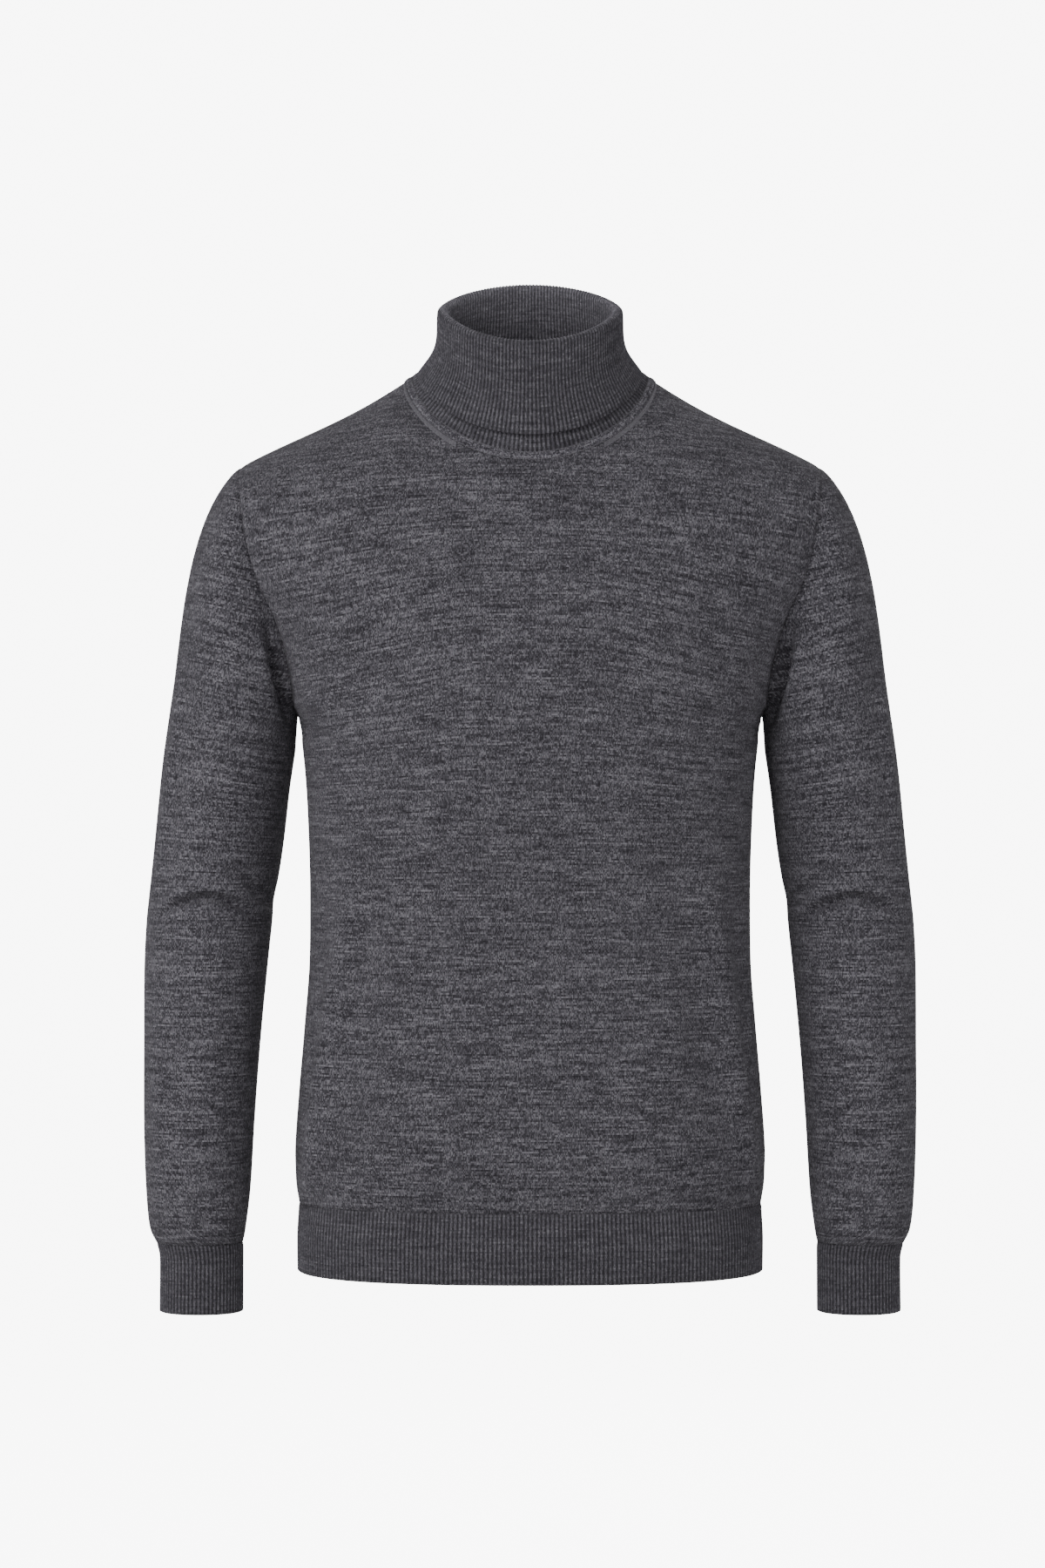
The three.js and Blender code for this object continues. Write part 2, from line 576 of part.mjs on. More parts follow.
// A loop round the neck whose points lie on the chords between the panels' neckline points.
function neckLoop(level, count, lift) {
  const facets = 4 * NECK_CELLS;
  return Array.from({ length: count }, (_, n) => {
    const at = (n / count) * facets;
    const [low, high] = [Math.floor(at), Math.floor(at) + 1].map((k) => (2 * Math.PI * k) / facets);
    const turn = (2 * Math.PI * at) / facets;
    const point = neckPoint(level, low).lerp(neckPoint(level, high), at - Math.floor(at));
    return point.addScaledVector(neckFacing(turn), lift(n));
  });
}

// A ring of the neck part of the way from one level to another.
function blendLevels(a, b, t) {
  return Object.fromEntries(Object.keys(NECK_EDGE).map((key) => [key, lerp(a[key], b[key], t)]));
}

function makeBand(material) {
  const count = 4 * NECK_CELLS;
  const gap = SEAM / Math.hypot(NECK_EDGE.half - COLLAR_SEAM.half, COLLAR_SEAM.sideZ - NECK_EDGE.sideZ);
  const lower = blendLevels(NECK_EDGE, COLLAR_SEAM, 1.5 * gap);
  return tube("neck_band", material, [
    neckLoop(lower, count, () => BAND_RISE),
    neckLoop(COLLAR_SEAM, count, () => BAND_RISE),
    neckLoop(COLLAR_SEAM, count, () => BAND_RISE - BAND_KNIT),
    neckLoop(lower, count, () => BAND_RISE - BAND_KNIT),
  ]);
}

// Moves a level of the collar towards its axis, for the far side of the cloth.
function drawIn(level, by) {
  return { ...level, half: level.half - by, front: level.front + by, back: level.back - by };
}

// The roll collar: one strip that goes up as the stand, over the fold and down again as the roll.
function makeCollar(material) {
  const plain = 4 * NECK_CELLS;
  const ribbed = 2 * COLLAR_RIBS;
  const outwards = (turn) => vec(Math.cos(turn), Math.sin(turn), 0);
  const loop = (level, count, lift) => Array.from({ length: count }, (_, n) => {
    const turn = (2 * Math.PI * n) / count;
    return neckPoint(level, turn).addScaledVector(outwards(turn), lift(n));
  });
  const visibleStand = 2; // rows of the stand that show under the roll
  return tube("roll_collar", material, [
    ...[...ROLL].reverse().map((level) => loop(level, ribbed, ribRise)),
    loop(FOLD, plain, () => 0),
    ...[...STAND].reverse().slice(0, -1).map((level) => loop(drawIn(level, RIB_KNIT), plain, () => 0)),
    neckLoop(STAND[0], plain, () => -RIB_KNIT),
    neckLoop(STAND[0], ribbed, (n) => ribRise(n) - RIB_RISE),
    loop(STAND[1], ribbed, (n) => ribRise(n) - RIB_RISE),
    ...STAND.slice(visibleStand).map((level) => loop(level, plain, () => 0)),
    ...ROLL.map((level) => loop(drawIn(level, RIB_KNIT), plain, () => 0)),
  ]);
}

const charcoalKnit = new THREE.MeshStandardMaterial({ color: 0x48464a, roughness: 0.95, metalness: 0 });
const charcoalRib = new THREE.MeshStandardMaterial({ color: 0x454347, roughness: 0.95, metalness: 0 });
const linkingYarn = new THREE.MeshStandardMaterial({ color: 0x4b494d, roughness: 0.95, metalness: 0 });

const sweater = new THREE.Group();
sweater.add(
  makePanel("front", charcoalKnit),
  makePanel("back", charcoalKnit),
  makeHem("front", charcoalRib),
  makeHem("back", charcoalRib),
  makeSleeve("sleeve_left", 1, charcoalKnit),
  makeSleeve("sleeve_right", -1, charcoalKnit),
  makeCuff("cuff_left", 1, charcoalRib),
  makeCuff("cuff_right", -1, charcoalRib),
  makeBand(linkingYarn),
  makeCollar(charcoalRib),
);

export default sweater;
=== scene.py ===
import math
from typing import NamedTuple

import bpy
import numpy as np
from bpy.props import FloatProperty, FloatVectorProperty, IntProperty, PointerProperty
from bpy.types import Operator, Panel, PropertyGroup
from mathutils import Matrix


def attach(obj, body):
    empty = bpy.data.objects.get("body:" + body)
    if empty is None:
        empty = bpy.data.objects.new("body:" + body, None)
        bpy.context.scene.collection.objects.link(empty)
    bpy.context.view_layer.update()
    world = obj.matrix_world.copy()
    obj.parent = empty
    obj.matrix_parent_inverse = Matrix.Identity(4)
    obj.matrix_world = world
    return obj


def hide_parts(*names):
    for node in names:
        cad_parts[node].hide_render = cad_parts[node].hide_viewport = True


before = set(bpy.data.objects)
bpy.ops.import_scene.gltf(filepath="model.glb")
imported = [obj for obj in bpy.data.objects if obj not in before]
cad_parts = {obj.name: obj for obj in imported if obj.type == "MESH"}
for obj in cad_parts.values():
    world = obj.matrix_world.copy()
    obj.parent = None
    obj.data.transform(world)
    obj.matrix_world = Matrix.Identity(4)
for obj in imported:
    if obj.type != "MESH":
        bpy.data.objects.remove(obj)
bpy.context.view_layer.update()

bl_info = {
    "name": "Fine-knit turtleneck sweater",
    "version": (1, 0, 0),
    "blender": (4, 5, 0),
    "location": "3D View > Sidebar > Sweater",
    "description": "Makes a turtleneck sweater in charcoal melange that keeps its worn shape",
    "category": "Mesh",
}

OUTWARD = {"front": -1, "back": 1}
SIDES = {"left": 1, "right": -1}
MIRROR = np.array([-1, 1, 1])
DOWN = np.array([0, 0, -1.0])

# Thicknesses and clearances.
KNIT = 0.0018
RIB_KNIT = 0.0022
BAND_KNIT = 0.0022
SEAM = 0.00002

# Heights and shape of the body.
HEM_LINE = -0.620
ARMPIT = -0.256
CUFF_LINE = -0.649
ROUND_AT_NECK = 0.110
ROUND_AT_SHOULDER = 0.072
SHOULDER_DIP = 0.0055
OVER_NECK = {"front": 0.025, "back": 0.075}
SLOPE_AT_NECK = {"front": 1.0, "back": 0.5}
SLOPE_AT_SHOULDER = 0.5
SIDE_BOXINESS = 2.5
NECK_SHARE = 2 / 3  # share of a panel's top edge, from its middle, that is neckline
NECK_ARCH = 1.25  # above 1, a ring round the neck leaves its sides' height more slowly
SHOULDER_CROWDING = 1.25  # above 1, rows along the armhole get closer towards the shoulder

# How far the courses of the chest sink towards the armpits, and where.
DROOP = 0.020
DROOP_START = 0.03
DROOP_REACH = 0.15
DROOP_HEIGHT = -0.20
DROOP_SPREAD = 0.11

# Powers that keep the pull of an edge close to it, in the skin above the armpits.
ARMHOLE_PULL = 5
ARMHOLE_HOLD = 9
TOP_HOLD = 4

# Which way the edges face: shares sideways and up.
NECK_SIDEWAYS = 0.62
NECK_UP_MIDDLE = 0.25
NECK_UP_SIDE = 0.78
SHOULDER_FACING = (0.45, 0, 0.89)
ARMHOLE_SIDEWAYS = 0.62
ARMHOLE_TURNS_AT = 0.4

# How the seams draw the cloth in, as shares of the seam dip, and how folds fade towards the edges.
RIB_SEAM_DIP = 0.5
TOP_SEAM_DIP = 0.4
HEM_SIDE_DIP = 0.6
DIP_WIDTH = 0.0032
ARMPIT_FADE = 0.030
SIDE_EASE = 0.009
ARMHOLE_EASE = 0.012

# The sleeves: the lean of their courses, and how their folds and rows lie at the elbow.
SLEEVE_BOXINESS = 0.92
CENTRE_LEAN = 0.13
COURSE_LEAN = 0.22
LEAN_START = -0.42
LEAN_REACH = 0.2
CREASE_FADE = 0.35
RIGHT_ELBOW_TURN = 0.8
ELBOW_CROWDING = 3
ELBOW_SPREAD = 0.030
CAP_BLEND = np.array([0.75, 0.5, 0.25])  # how far the rows beside the armhole face as it does

# Free edges of ribs: places of their two rows in the thickness, their drop, and the ribs' rise there.
EDGE_ROWS = (0.28, 0.72)
EDGE_DROP = 0.34
RIB_AT_SEAM = 0.2
RIB_AT_EDGE = 0.1
CUFF_SINK = 0.0006

# The collar's folds and the neck band.
FOLD_RISE = 0.0048  # how far the collar's top fold rises over its highest ring
INNER_FOLD_RISE = 0.0016
STAND_IN_SIGHT = 0.3  # share of the stand whose ribs show below the fold-over
STAND_RIBS = 0.8
LIP_DROP = 0.0007
LIP_RIBS = 0.5
BAND_RISE = 0.0005
BAND_BULGE = 0.0005
BAND_TUCK = 0.0007
BAND_HEIGHT = 0.007

# The chains that link the neck band.
CHAIN_LIFT = 0.0002
CHAIN_PITCH = 0.0017
CHAIN_SLANT = 0.55
CHAIN_STITCH = (0.0020, 0.0007)

# The slanting marks beside the armhole: their lowest and highest place, and how far inside it they lie.
MARKS_LOW = -0.124
MARKS_HIGH = -0.080
MARKS_IN = 0.0026
MARK_PITCH = 0.0034
MARK_LIFT = 0.0002
MARK_STITCH = (0.0032, 0.0011)
MARK_ALONG = 0.75
MARK_ACROSS = 0.66

# The lines of marks below the neckline and the shoulder seam.
NECK_MARKS_START = {"front": 0.41, "back": 0.80}
NECK_MARKS_BELOW = (0.0018, 0.0032, 0.0046, 0.0060)
NECK_MARKS_PITCH = 0.0024

# Fineness of the cloth's surfaces.
HALF_COLUMNS = 88
SIDE_ROWS = 110
YOKE_ROWS = 74
SLEEVE_COLUMNS = 152
CAP_ROWS = 44
ARM_ROWS = 140
HEM_ROWS = 13
CUFF_ROWS = 19
COLLAR_ROWS = 18
BAND_ROWS = 9
BAND_COLUMNS = 480
POINTS_ON_RIB = 6


def table(kind, *rows):
    """A table whose rows are all of one kind."""
    return tuple(kind(*row) for row in rows)


class Cut(NamedTuple):
    """A piece of cloth laid flat: its width, its length and its area."""
    width: float
    length: float
    area: float


CUFF_CUT = Cut(0.19, 0.051, 0.0096)
COLLAR_CUT = Cut(0.46, 0.155, 0.063)
BAND_CUT = Cut(0.48, 0.010, 0.0045)


class Section(NamedTuple):
    """A level of the body: half its width, and how far its front and back stand from the side seams."""
    z: float
    half: float
    front: float
    back: float


TORSO = table(
    Section,
    (-0.671, 0.1752, 0.112, 0.101),
    (-0.645, 0.1754, 0.112, 0.101),
    (-0.62, 0.1744, 0.11, 0.099),
    (-0.602, 0.1774, 0.1135, 0.1035),
    (-0.58, 0.1784, 0.115, 0.106),
    (-0.54, 0.1758, 0.113, 0.103),
    (-0.49, 0.1714, 0.11, 0.095),
    (-0.44, 0.1672, 0.108, 0.09),
    (-0.39, 0.1664, 0.109, 0.09),
    (-0.345, 0.1674, 0.113, 0.096),
    (-0.3, 0.1698, 0.117, 0.104),
    (-0.256, 0.1746, 0.119, 0.11),
)

YOKE = table(
    Section,
    TORSO[-1],
    (-0.243, 0.179, 0.119, 0.112),
    (-0.213, 0.188, 0.118, 0.114),
    (-0.183, 0.201, 0.116, 0.115),
    (-0.155, 0.221, 0.1115, 0.114),
    (-0.124, 0.24, 0.103, 0.111),
    (-0.094, 0.259, 0.093, 0.105),
    (-0.06, 0.274, 0.083, 0.097),
    (-0.02, 0.28, 0.075, 0.086),
    (0.02, 0.28, 0.07, 0.078),
)


class ArmholePlace(NamedTuple):
    """A place on the armhole seam, from the armpit (0) to the shoulder point (1)."""
    at: float
    x: float
    z: float
    front: float
    back: float


ARMHOLE = table(
    ArmholePlace,
    (0, 0.176, -0.256, 0, 0),
    (1 / 8, 0.178, -0.243, 0.028, 0.03),
    (2 / 8, 0.1825, -0.213, 0.04, 0.043),
    (3 / 8, 0.1905, -0.183, 0.05, 0.054),
    (4 / 8, 0.203, -0.155, 0.058, 0.062),
    (5 / 8, 0.2115, -0.124, 0.061, 0.065),
    (6 / 8, 0.2165, -0.094, 0.054, 0.059),
    (7 / 8, 0.2192, -0.074, 0.031, 0.036),
    (1, 0.2204, -0.0655, -0.002, 0.002),
)


class NeckLevel(NamedTuple):
    """A ring round the neck: half its width, then where its front, sides and back lie, and their heights."""
    at: float
    half: float
    front: float
    side: float
    back: float
    side_z: float
    front_z: float
    back_z: float


NECK_EDGE = NeckLevel(0, 0.095, -0.08, 0.008, 0.07, 0, -0.066, 0)
COLLAR_SEAM = NeckLevel(1, 0.0899, -0.077, 0.008, 0.067, 0.0035, -0.0604, 0.0086)
STAND = table(
    NeckLevel,
    (0, 0.0896, -0.0768, 0.008, 0.0668, 0.0037, -0.0601, 0.0089),
    (0.22, 0.0786, -0.0762, 0.0055, 0.066, 0.011, -0.044, 0.023),
    (0.4, 0.07, -0.072, 0.0025, 0.0615, 0.02, -0.028, 0.037),
    (0.7, 0.0662, -0.0685, -0.002, 0.0565, 0.034, -0.006, 0.056),
    (1, 0.0653, -0.0663, -0.006, 0.0538, 0.05, 0.018, 0.0745),
)
ROLL = table(
    NeckLevel,
    (0, 0.0855, -0.0818, 0.007, 0.0724, 0.0056, -0.0474, 0.0155),
    (0.5, 0.072, -0.0762, 0.001, 0.065, 0.0255, -0.017, 0.043),
    (1, 0.0697, -0.0708, -0.006, 0.0582, 0.05, 0.018, 0.0745),
)


class SleeveRing(NamedTuple):
    """A ring of a sleeve: its inner and outer edge, how much higher the outer is, and its depth."""
    z: float
    inner: float
    outer: float
    tilt: float
    mid: float
    deep: float


SLEEVE = table(
    SleeveRing,
    (-0.258, 0.1783, 0.2703, 0.048, 0.002, 0.063),
    (-0.2995, 0.1827, 0.2781, 0.025, 0.004, 0.062),
    (-0.344, 0.1869, 0.2837, 0.008, 0.006, 0.06),
    (-0.375, 0.1911, 0.2871, 0.002, 0.006, 0.0585),
    (-0.3925, 0.1947, 0.2891, 0.001, 0.0055, 0.0575),
    (-0.409, 0.1957, 0.2907, 0, 0.0045, 0.057),
    (-0.442, 0.1989, 0.2919, 0, 0, 0.0555),
    (-0.5, 0.2039, 0.2915, 0, -0.008, 0.0515),
    (-0.56, 0.2079, 0.2909, 0, -0.015, 0.047),
    (-0.61, 0.2105, 0.2887, 0, -0.021, 0.0425),
    (-0.638, 0.2137, 0.2857, 0, -0.024, 0.0385),
    (-0.649, 0.2153, 0.2811, 0, -0.025, 0.033),
)
CUFF = table(
    SleeveRing,
    SLEEVE[-1],
    (-0.655, 0.2154, 0.2789, 0, -0.0253, 0.03),
    (-0.661, 0.2154, 0.278, 0, -0.0256, 0.0286),
    (-0.7, 0.2154, 0.278, 0, -0.028, 0.0286),
)


class CapLine(NamedTuple):
    """How the sleeve leaves its armhole, from the shoulder point (0) to the armpit (1)."""
    at: float
    side: float
    away: float
    up: float
    start: float
    end: float


CAP = table(
    CapLine,
    (0, 0.74, 0, -0.67, 0.165, 0.14),
    (0.25, 0.74, 0.12, -0.66, 0.11, 0.13),
    (0.5, 0.8, 0.22, -0.56, 0.06, 0.09),
    (0.75, 0.76, 0.5, -0.42, 0.034, 0.05),
    (1, 0.12, 0, -0.99, 0.014, 0.016),
)


class Fold(NamedTuple):
    """A soft ridge (+) or trough (-) seen from the front. side is 0 on both halves, 1 wearer's left."""
    x0: float
    z0: float
    x1: float
    z1: float
    rise: float
    wide: float
    bow: float = 0
    side: int = 0


BODY_FOLDS = table(
    Fold,
    (0.128, -0.335, 0.169, -0.645, 0.0064, 0.0085),
    (0.152, -0.4, 0.176, -0.61, -0.0046, 0.007),
    (0.104, -0.345, 0.143, -0.6, -0.0034, 0.013),
)
FRONT_CREASES = table(
    Fold,
    (0.177, -0.241, 0.142, -0.249, 0.0046, 0.0065),
    (0.175, -0.262, 0.145, -0.276, -0.0052, 0.0052),
    (0.157, -0.49, 0.169, -0.628, 0.003, 0.0042, 0.001),
    (0.163, -0.268, 0.118, -0.3, -0.0012, 0.009, 0.004),
    (0.16, -0.224, 0.082, -0.203, -0.0011, 0.007, 0.003),
    (0.154, -0.199, 0.064, -0.182, -0.0009, 0.006, 0.002, -1),
    (0.158, -0.205, 0.09, -0.192, -0.001, 0.006, -0.002, 1),
    (0.16, -0.176, 0.096, -0.158, -0.0009, 0.006, 0.002),
    (0.176, -0.152, 0.12, -0.136, -0.0008, 0.007, 0.002, -1),
    (0.184, -0.16, 0.134, -0.141, -0.0009, 0.006, 0.001, 1),
    (0.19, -0.128, 0.15, -0.112, -0.0007, 0.006),
    (0.132, -0.236, 0.04, -0.226, -0.0007, 0.006, 0.002, -1),
    (0.14, -0.246, 0.052, -0.24, 0.0006, 0.008, 0.002, 1),
    (0.15, -0.33, 0.06, -0.352, -0.0008, 0.012, 0.005, -1),
    (0.148, -0.342, 0.074, -0.372, -0.0008, 0.012, 0.004, 1),
    (0.156, -0.47, 0.166, -0.596, -0.0014, 0.005, 0.002, 1),
    (0.134, -0.4, 0.146, -0.56, 0.0012, 0.006, 0.003, 1),
    (0.128, -0.35, 0.15, -0.52, 0.001, 0.007, 0.004, -1),
    (0.12, -0.604, 0.05, -0.598, -0.0007, 0.005, 0.002),
    (0.06, -0.42, -0.04, -0.424, -0.0005, 0.006, 0.001, 1),
    (0.09, -0.5, 0.01, -0.494, -0.0005, 0.007, 0.002, -1),
    (0.09, -0.548, 0.02, -0.556, -0.0005, 0.007, 0.002, 1),
)
BACK_CREASES = table(
    Fold,
    (0.168, -0.252, 0.13, -0.256, 0.002, 0.009),
    (0.169, -0.264, 0.134, -0.298, -0.003, 0.007),
    (0.16, -0.222, 0.086, -0.196, -0.001, 0.007, 0.003),
    (0.172, -0.176, 0.112, -0.15, -0.0009, 0.007, 0.002),
    (0.15, -0.35, 0.03, -0.392, -0.0016, 0.014, 0.006, 1),
    (0.152, -0.372, 0.02, -0.424, -0.0018, 0.014, 0.008, -1),
    (0.14, -0.43, 0.036, -0.452, 0.0012, 0.012, 0.006, 1),
    (0.146, -0.462, 0.06, -0.478, -0.001, 0.011, 0.004, -1),
    (0.13, -0.6, 0.03, -0.592, -0.0008, 0.006, 0.002),
)
SLEEVE_CREASES = {
    "front": table(
        Fold,
        (0.194, -0.18, 0.174, -0.27, -0.0115, 0.0056, -0.002),
        (0.2025, -0.186, 0.183, -0.266, 0.0034, 0.007, -0.002),
        (0.219, -0.176, 0.195, -0.246, -0.0018, 0.006, 0.003, 1),
        (0.259, -0.195, 0.2822, -0.392, 0.0036, 0.0038, 0.002),
        (0.216, -0.372, 0.1925, -0.4, -0.005, 0.005),
        (0.215, -0.382, 0.1925, -0.409, 0.0018, 0.0042),
        (0.276, -0.47, 0.279, -0.62, 0.0016, 0.006),
        (0.266, -0.56, 0.269, -0.648, 0.0018, 0.0048),
        (0.225, -0.616, 0.223, -0.651, 0.0014, 0.0045),
        (0.252, -0.384, 0.215, -0.4, -0.0008, 0.006, 0.003, -1),
        (0.276, -0.42, 0.24, -0.434, -0.0008, 0.008, 0.003, 1),
        (0.23, -0.452, 0.224, -0.56, -0.0008, 0.01, 0.002),
        (0.264, -0.628, 0.234, -0.632, 0.0008, 0.006, 0.001),
    ),
    "back": table(
        Fold,
        (0.196, -0.19, 0.18, -0.262, -0.003, 0.007, -0.003),
        (0.215, -0.34, 0.262, -0.366, -0.0016, 0.01, 0.004),
        (0.212, -0.42, 0.268, -0.404, -0.0014, 0.01, 0.004),
        (0.226, -0.628, 0.27, -0.624, 0.0008, 0.006, 0.001),
    ),
}


class ElbowFold(NamedTuple):
    """A crease across a sleeve: its height, the angle from the front, its reach, rise, width and sag."""
    z: float
    turn: float
    reach: float
    rise: float
    wide: float
    sag: float


ELBOW_FOLDS = table(
    ElbowFold,
    (-0.3905, -0.02, 1, -0.0098, 0.003, 0.02),
    (-0.383, -0.02, 1, 0.004, 0.0046, 0.02),
    (-0.403, 0.05, 0.95, 0.002, 0.008, 0.016),
    (-0.4, math.pi, 0.8, 0.0022, 0.016, 0.009),
)


class Lamp(NamedTuple):
    """A soft square light: its place, what it points at, its size and its power in watts."""
    name: str
    place: tuple
    aim: tuple
    size: float
    power: float


LAMPS = table(
    Lamp,
    ("key_light", (-1.32, -1.98, 0.65), (0, 0, -0.3), 1.0, 27),
    ("left_light", (-1.50, -0.90, -0.35), (0, 0, -0.3), 0.8, 11),
    ("right_light", (1.50, -0.90, -0.35), (0, 0, -0.3), 0.8, 8),
    ("front_light", (0.1, -2.3, -0.20), (0, 0, -0.35), 1.4, 13),
    ("neck_light", (0.0, -0.03, 0.17), (0, 0.055, 0.05), 0.06, 0.17),
    ("back_light", (0.5, 3.2, 0.6), (0, 0, -0.3), 2.0, 32),
)


class CutSettings(PropertyGroup):
    """Sizes of the knit that a maker would change."""
    hem_ribs: IntProperty(
        name="Hem ribs", description="Ribs on each of the front and back hem", default=146, min=20)
    cuff_ribs: IntProperty(name="Cuff ribs", description="Ribs round each cuff", default=64, min=12)
    collar_ribs: IntProperty(name="Collar ribs", description="Ribs round the collar", default=160, min=24)
    rib_rise: FloatProperty(
        name="Rib rise", description="How far a rib stands out of its grooves",
        default=0.0007, subtype="DISTANCE", unit="LENGTH")
    wale: FloatProperty(
        name="Wale", description="Width of one column of knit stitches",
        default=0.0014, subtype="DISTANCE", unit="LENGTH")
    course: FloatProperty(
        name="Course", description="Height of one row of knit stitches",
        default=0.0012, subtype="DISTANCE", unit="LENGTH")
    seam_dip: FloatProperty(
        name="Seam dip", description="How far the cloth is drawn in along a seam",
        default=0.0009, subtype="DISTANCE", unit="LENGTH")


class YarnSettings(PropertyGroup):
    """Colours and finish of the melange yarn."""
    dark: FloatVectorProperty(
        name="Dark fibre", description="Colour of the darkest fibres",
        default=(0.0135, 0.0120, 0.0160), subtype="COLOR", size=3, min=0, max=1)
    main: FloatVectorProperty(
        name="Main fibre", description="Colour of most of the yarn",
        default=(0.066, 0.0625, 0.0730), subtype="COLOR", size=3, min=0, max=1)
    pale: FloatVectorProperty(
        name="Pale fibre", description="Colour of the palest fibres",
        default=(0.215, 0.207, 0.230), subtype="COLOR", size=3, min=0, max=1)
    roughness: FloatProperty(
        name="Roughness", description="Roughness of the yarn", default=0.88, min=0, max=1, subtype="FACTOR")
    nap: FloatProperty(
        name="Nap", description="Strength of the soft sheen of loose fibres",
        default=0.12, min=0, max=1, subtype="FACTOR")


class StudioSettings(PropertyGroup):
    """The camera's place and the studio."""
    eye_height: FloatProperty(
        name="Eye height", description="Height of the level camera",
        default=-0.3056, subtype="DISTANCE", unit="LENGTH")
    eye_distance: FloatProperty(
        name="Eye distance", description="Distance from the camera to the side seams",
        default=3.0, subtype="DISTANCE", unit="LENGTH")
    view_height: FloatProperty(
        name="View height", description="Height of the view at the side seams",
        default=1.188, subtype="DISTANCE", unit="LENGTH")
    view_right: FloatProperty(
        name="View right", description="How far right of the sweater's middle the camera stands",
        default=-0.00574, subtype="DISTANCE", unit="LENGTH")
    white: FloatProperty(
        name="White", description="Brightness of the backdrop and floor as seen", default=8.0, min=0)
    air: FloatProperty(
        name="Air", description="Brightness of the soft light from all sides", default=0.27, min=0)
    floor_height: FloatProperty(
        name="Floor height", description="Height of the studio floor",
        default=-1.30, subtype="DISTANCE", unit="LENGTH")


# Sums and curves.

def curve(start, leave, end, arrive, t):
    """A smooth curve from one value to another, with its directions at both."""
    return ((2 * t**3 - 3 * t**2 + 1) * start + (t**3 - 2 * t**2 + t) * leave
            + (3 * t**2 - 2 * t**3) * end + (t**3 - t**2) * arrive)


def read(rows, key, column, at):
    """One column of a table anywhere between its rows, on a smooth curve through them."""
    rows = sorted(rows, key=lambda row: getattr(row, key))
    places, values = (np.array([getattr(row, name) for row in rows], float) for name in (key, column))
    last = len(rows) - 1
    low = np.maximum(np.arange(last + 1) - 1, 0)
    high = np.minimum(np.arange(last + 1) + 1, last)
    slopes = (values[high] - values[low]) / (places[high] - places[low])
    at = np.clip(at, places[0], places[last])
    i = np.clip(np.searchsorted(places, at, side="left") - 1, 0, last - 1)
    span = places[i + 1] - places[i]
    return curve(values[i], span * slopes[i], values[i + 1], span * slopes[i + 1], (at - places[i]) / span)


def row_at(rows, key, at):
    """A whole row of a table anywhere between its rows."""
    kind = type(rows[0])
    return kind(*(read(rows, key, column, at) for column in kind._fields))


def smooth(t):
    t = np.clip(t, 0, 1)
    return t * t * (3 - 2 * t)


def mix(a, b, t):
    return a + (b - a) * t


def unit(vectors):
    return vectors / np.maximum(np.linalg.norm(vectors, axis=-1, keepdims=True), 1e-12)


def stack(*columns):
    return np.stack(np.broadcast_arrays(*columns), axis=-1).astype(float)


def turns(count):
    """Even turns once round a ring."""
    return np.linspace(0, 2 * np.pi, count, endpoint=False)


def walked(path):
    """How far along a path its points lie, or how far down a grid's columns."""
    steps = np.linalg.norm(np.diff(path, axis=0), axis=-1)
    return np.concatenate([0 * steps[:1], np.cumsum(steps, axis=0)])


def doubled(half, flip=1):
    """A half with its mirror image joined on along its first column."""
    return np.concatenate([half[:, :0:-1] * flip, half], axis=1)


# The body's skin.

def shoulder_height(facing, x):
    """Height of the shoulder line over a point. Over the neck it runs on to where the skins would meet."""
    out = np.abs(x)
    end = ARMHOLE[-1]
    slope = (NECK_EDGE.side_z - end.z) / (end.x - NECK_EDGE.half)
    run = np.clip((out - NECK_EDGE.half) / (end.x - NECK_EDGE.half), 0, 1)
    sag = SHOULDER_DIP * np.sin(np.pi * run) * (1 - run)
    outside = NECK_EDGE.side_z - slope * (out - NECK_EDGE.half) - sag
    t = np.clip(1 - out / NECK_EDGE.half, 0, 1)
    over = NECK_EDGE.side_z + slope * NECK_EDGE.half * t * (1 - t)**2 + OVER_NECK[facing] * smooth(t)
    return np.where(out >= NECK_EDGE.half, outside, over)


def skin_depth(facing, x, z):
    """How far the skin stands from the side seams at a point seen from the front."""
    half, deep = (
        np.where(z < ARMPIT, read(TORSO, "z", column, z), read(YOKE, "z", column, z))
        for column in ("half", facing))
    share = np.clip(np.abs(x) / half, 0, 1)
    rounded = (1 - share**SIDE_BOXINESS)**(1 / SIDE_BOXINESS)
    along = smooth(np.abs(x) / ARMHOLE[-1].x)
    drop = mix(ROUND_AT_NECK, ROUND_AT_SHOULDER, along)
    under = np.clip((shoulder_height(facing, x) - z) / drop, 0, 1)
    rolled = (under * (2 - under))**mix(SLOPE_AT_NECK[facing], SLOPE_AT_SHOULDER, along)
    seam = getattr(ARMHOLE[-1], facing)
    return seam + (deep * rounded - seam) * rolled


def fold_rise(folds, x, z):
    """How far folds lift a surface at points seen from the front."""
    rise = np.zeros(np.broadcast(x, z).shape)
    for fold in folds:
        across = np.abs(x) if fold.side == 0 else x * fold.side
        along = np.array([fold.x1 - fold.x0, fold.z1 - fold.z0])
        length = np.hypot(*along)
        dx = across - fold.x0
        dz = z - fold.z0
        t = np.clip((dx * along[0] + dz * along[1]) / length**2, 0, 1)
        off_x = dx - t * along[0]
        off_z = dz - t * along[1]
        sideways = (off_x * along[1] - off_z * along[0]) / length
        off = np.where((t > 0) & (t < 1), sideways - fold.bow * np.sin(np.pi * t), np.hypot(off_x, off_z))
        rise = rise + fold.rise * np.sin(np.pi * t) * np.exp(-(off / fold.wide)**2)
    return rise


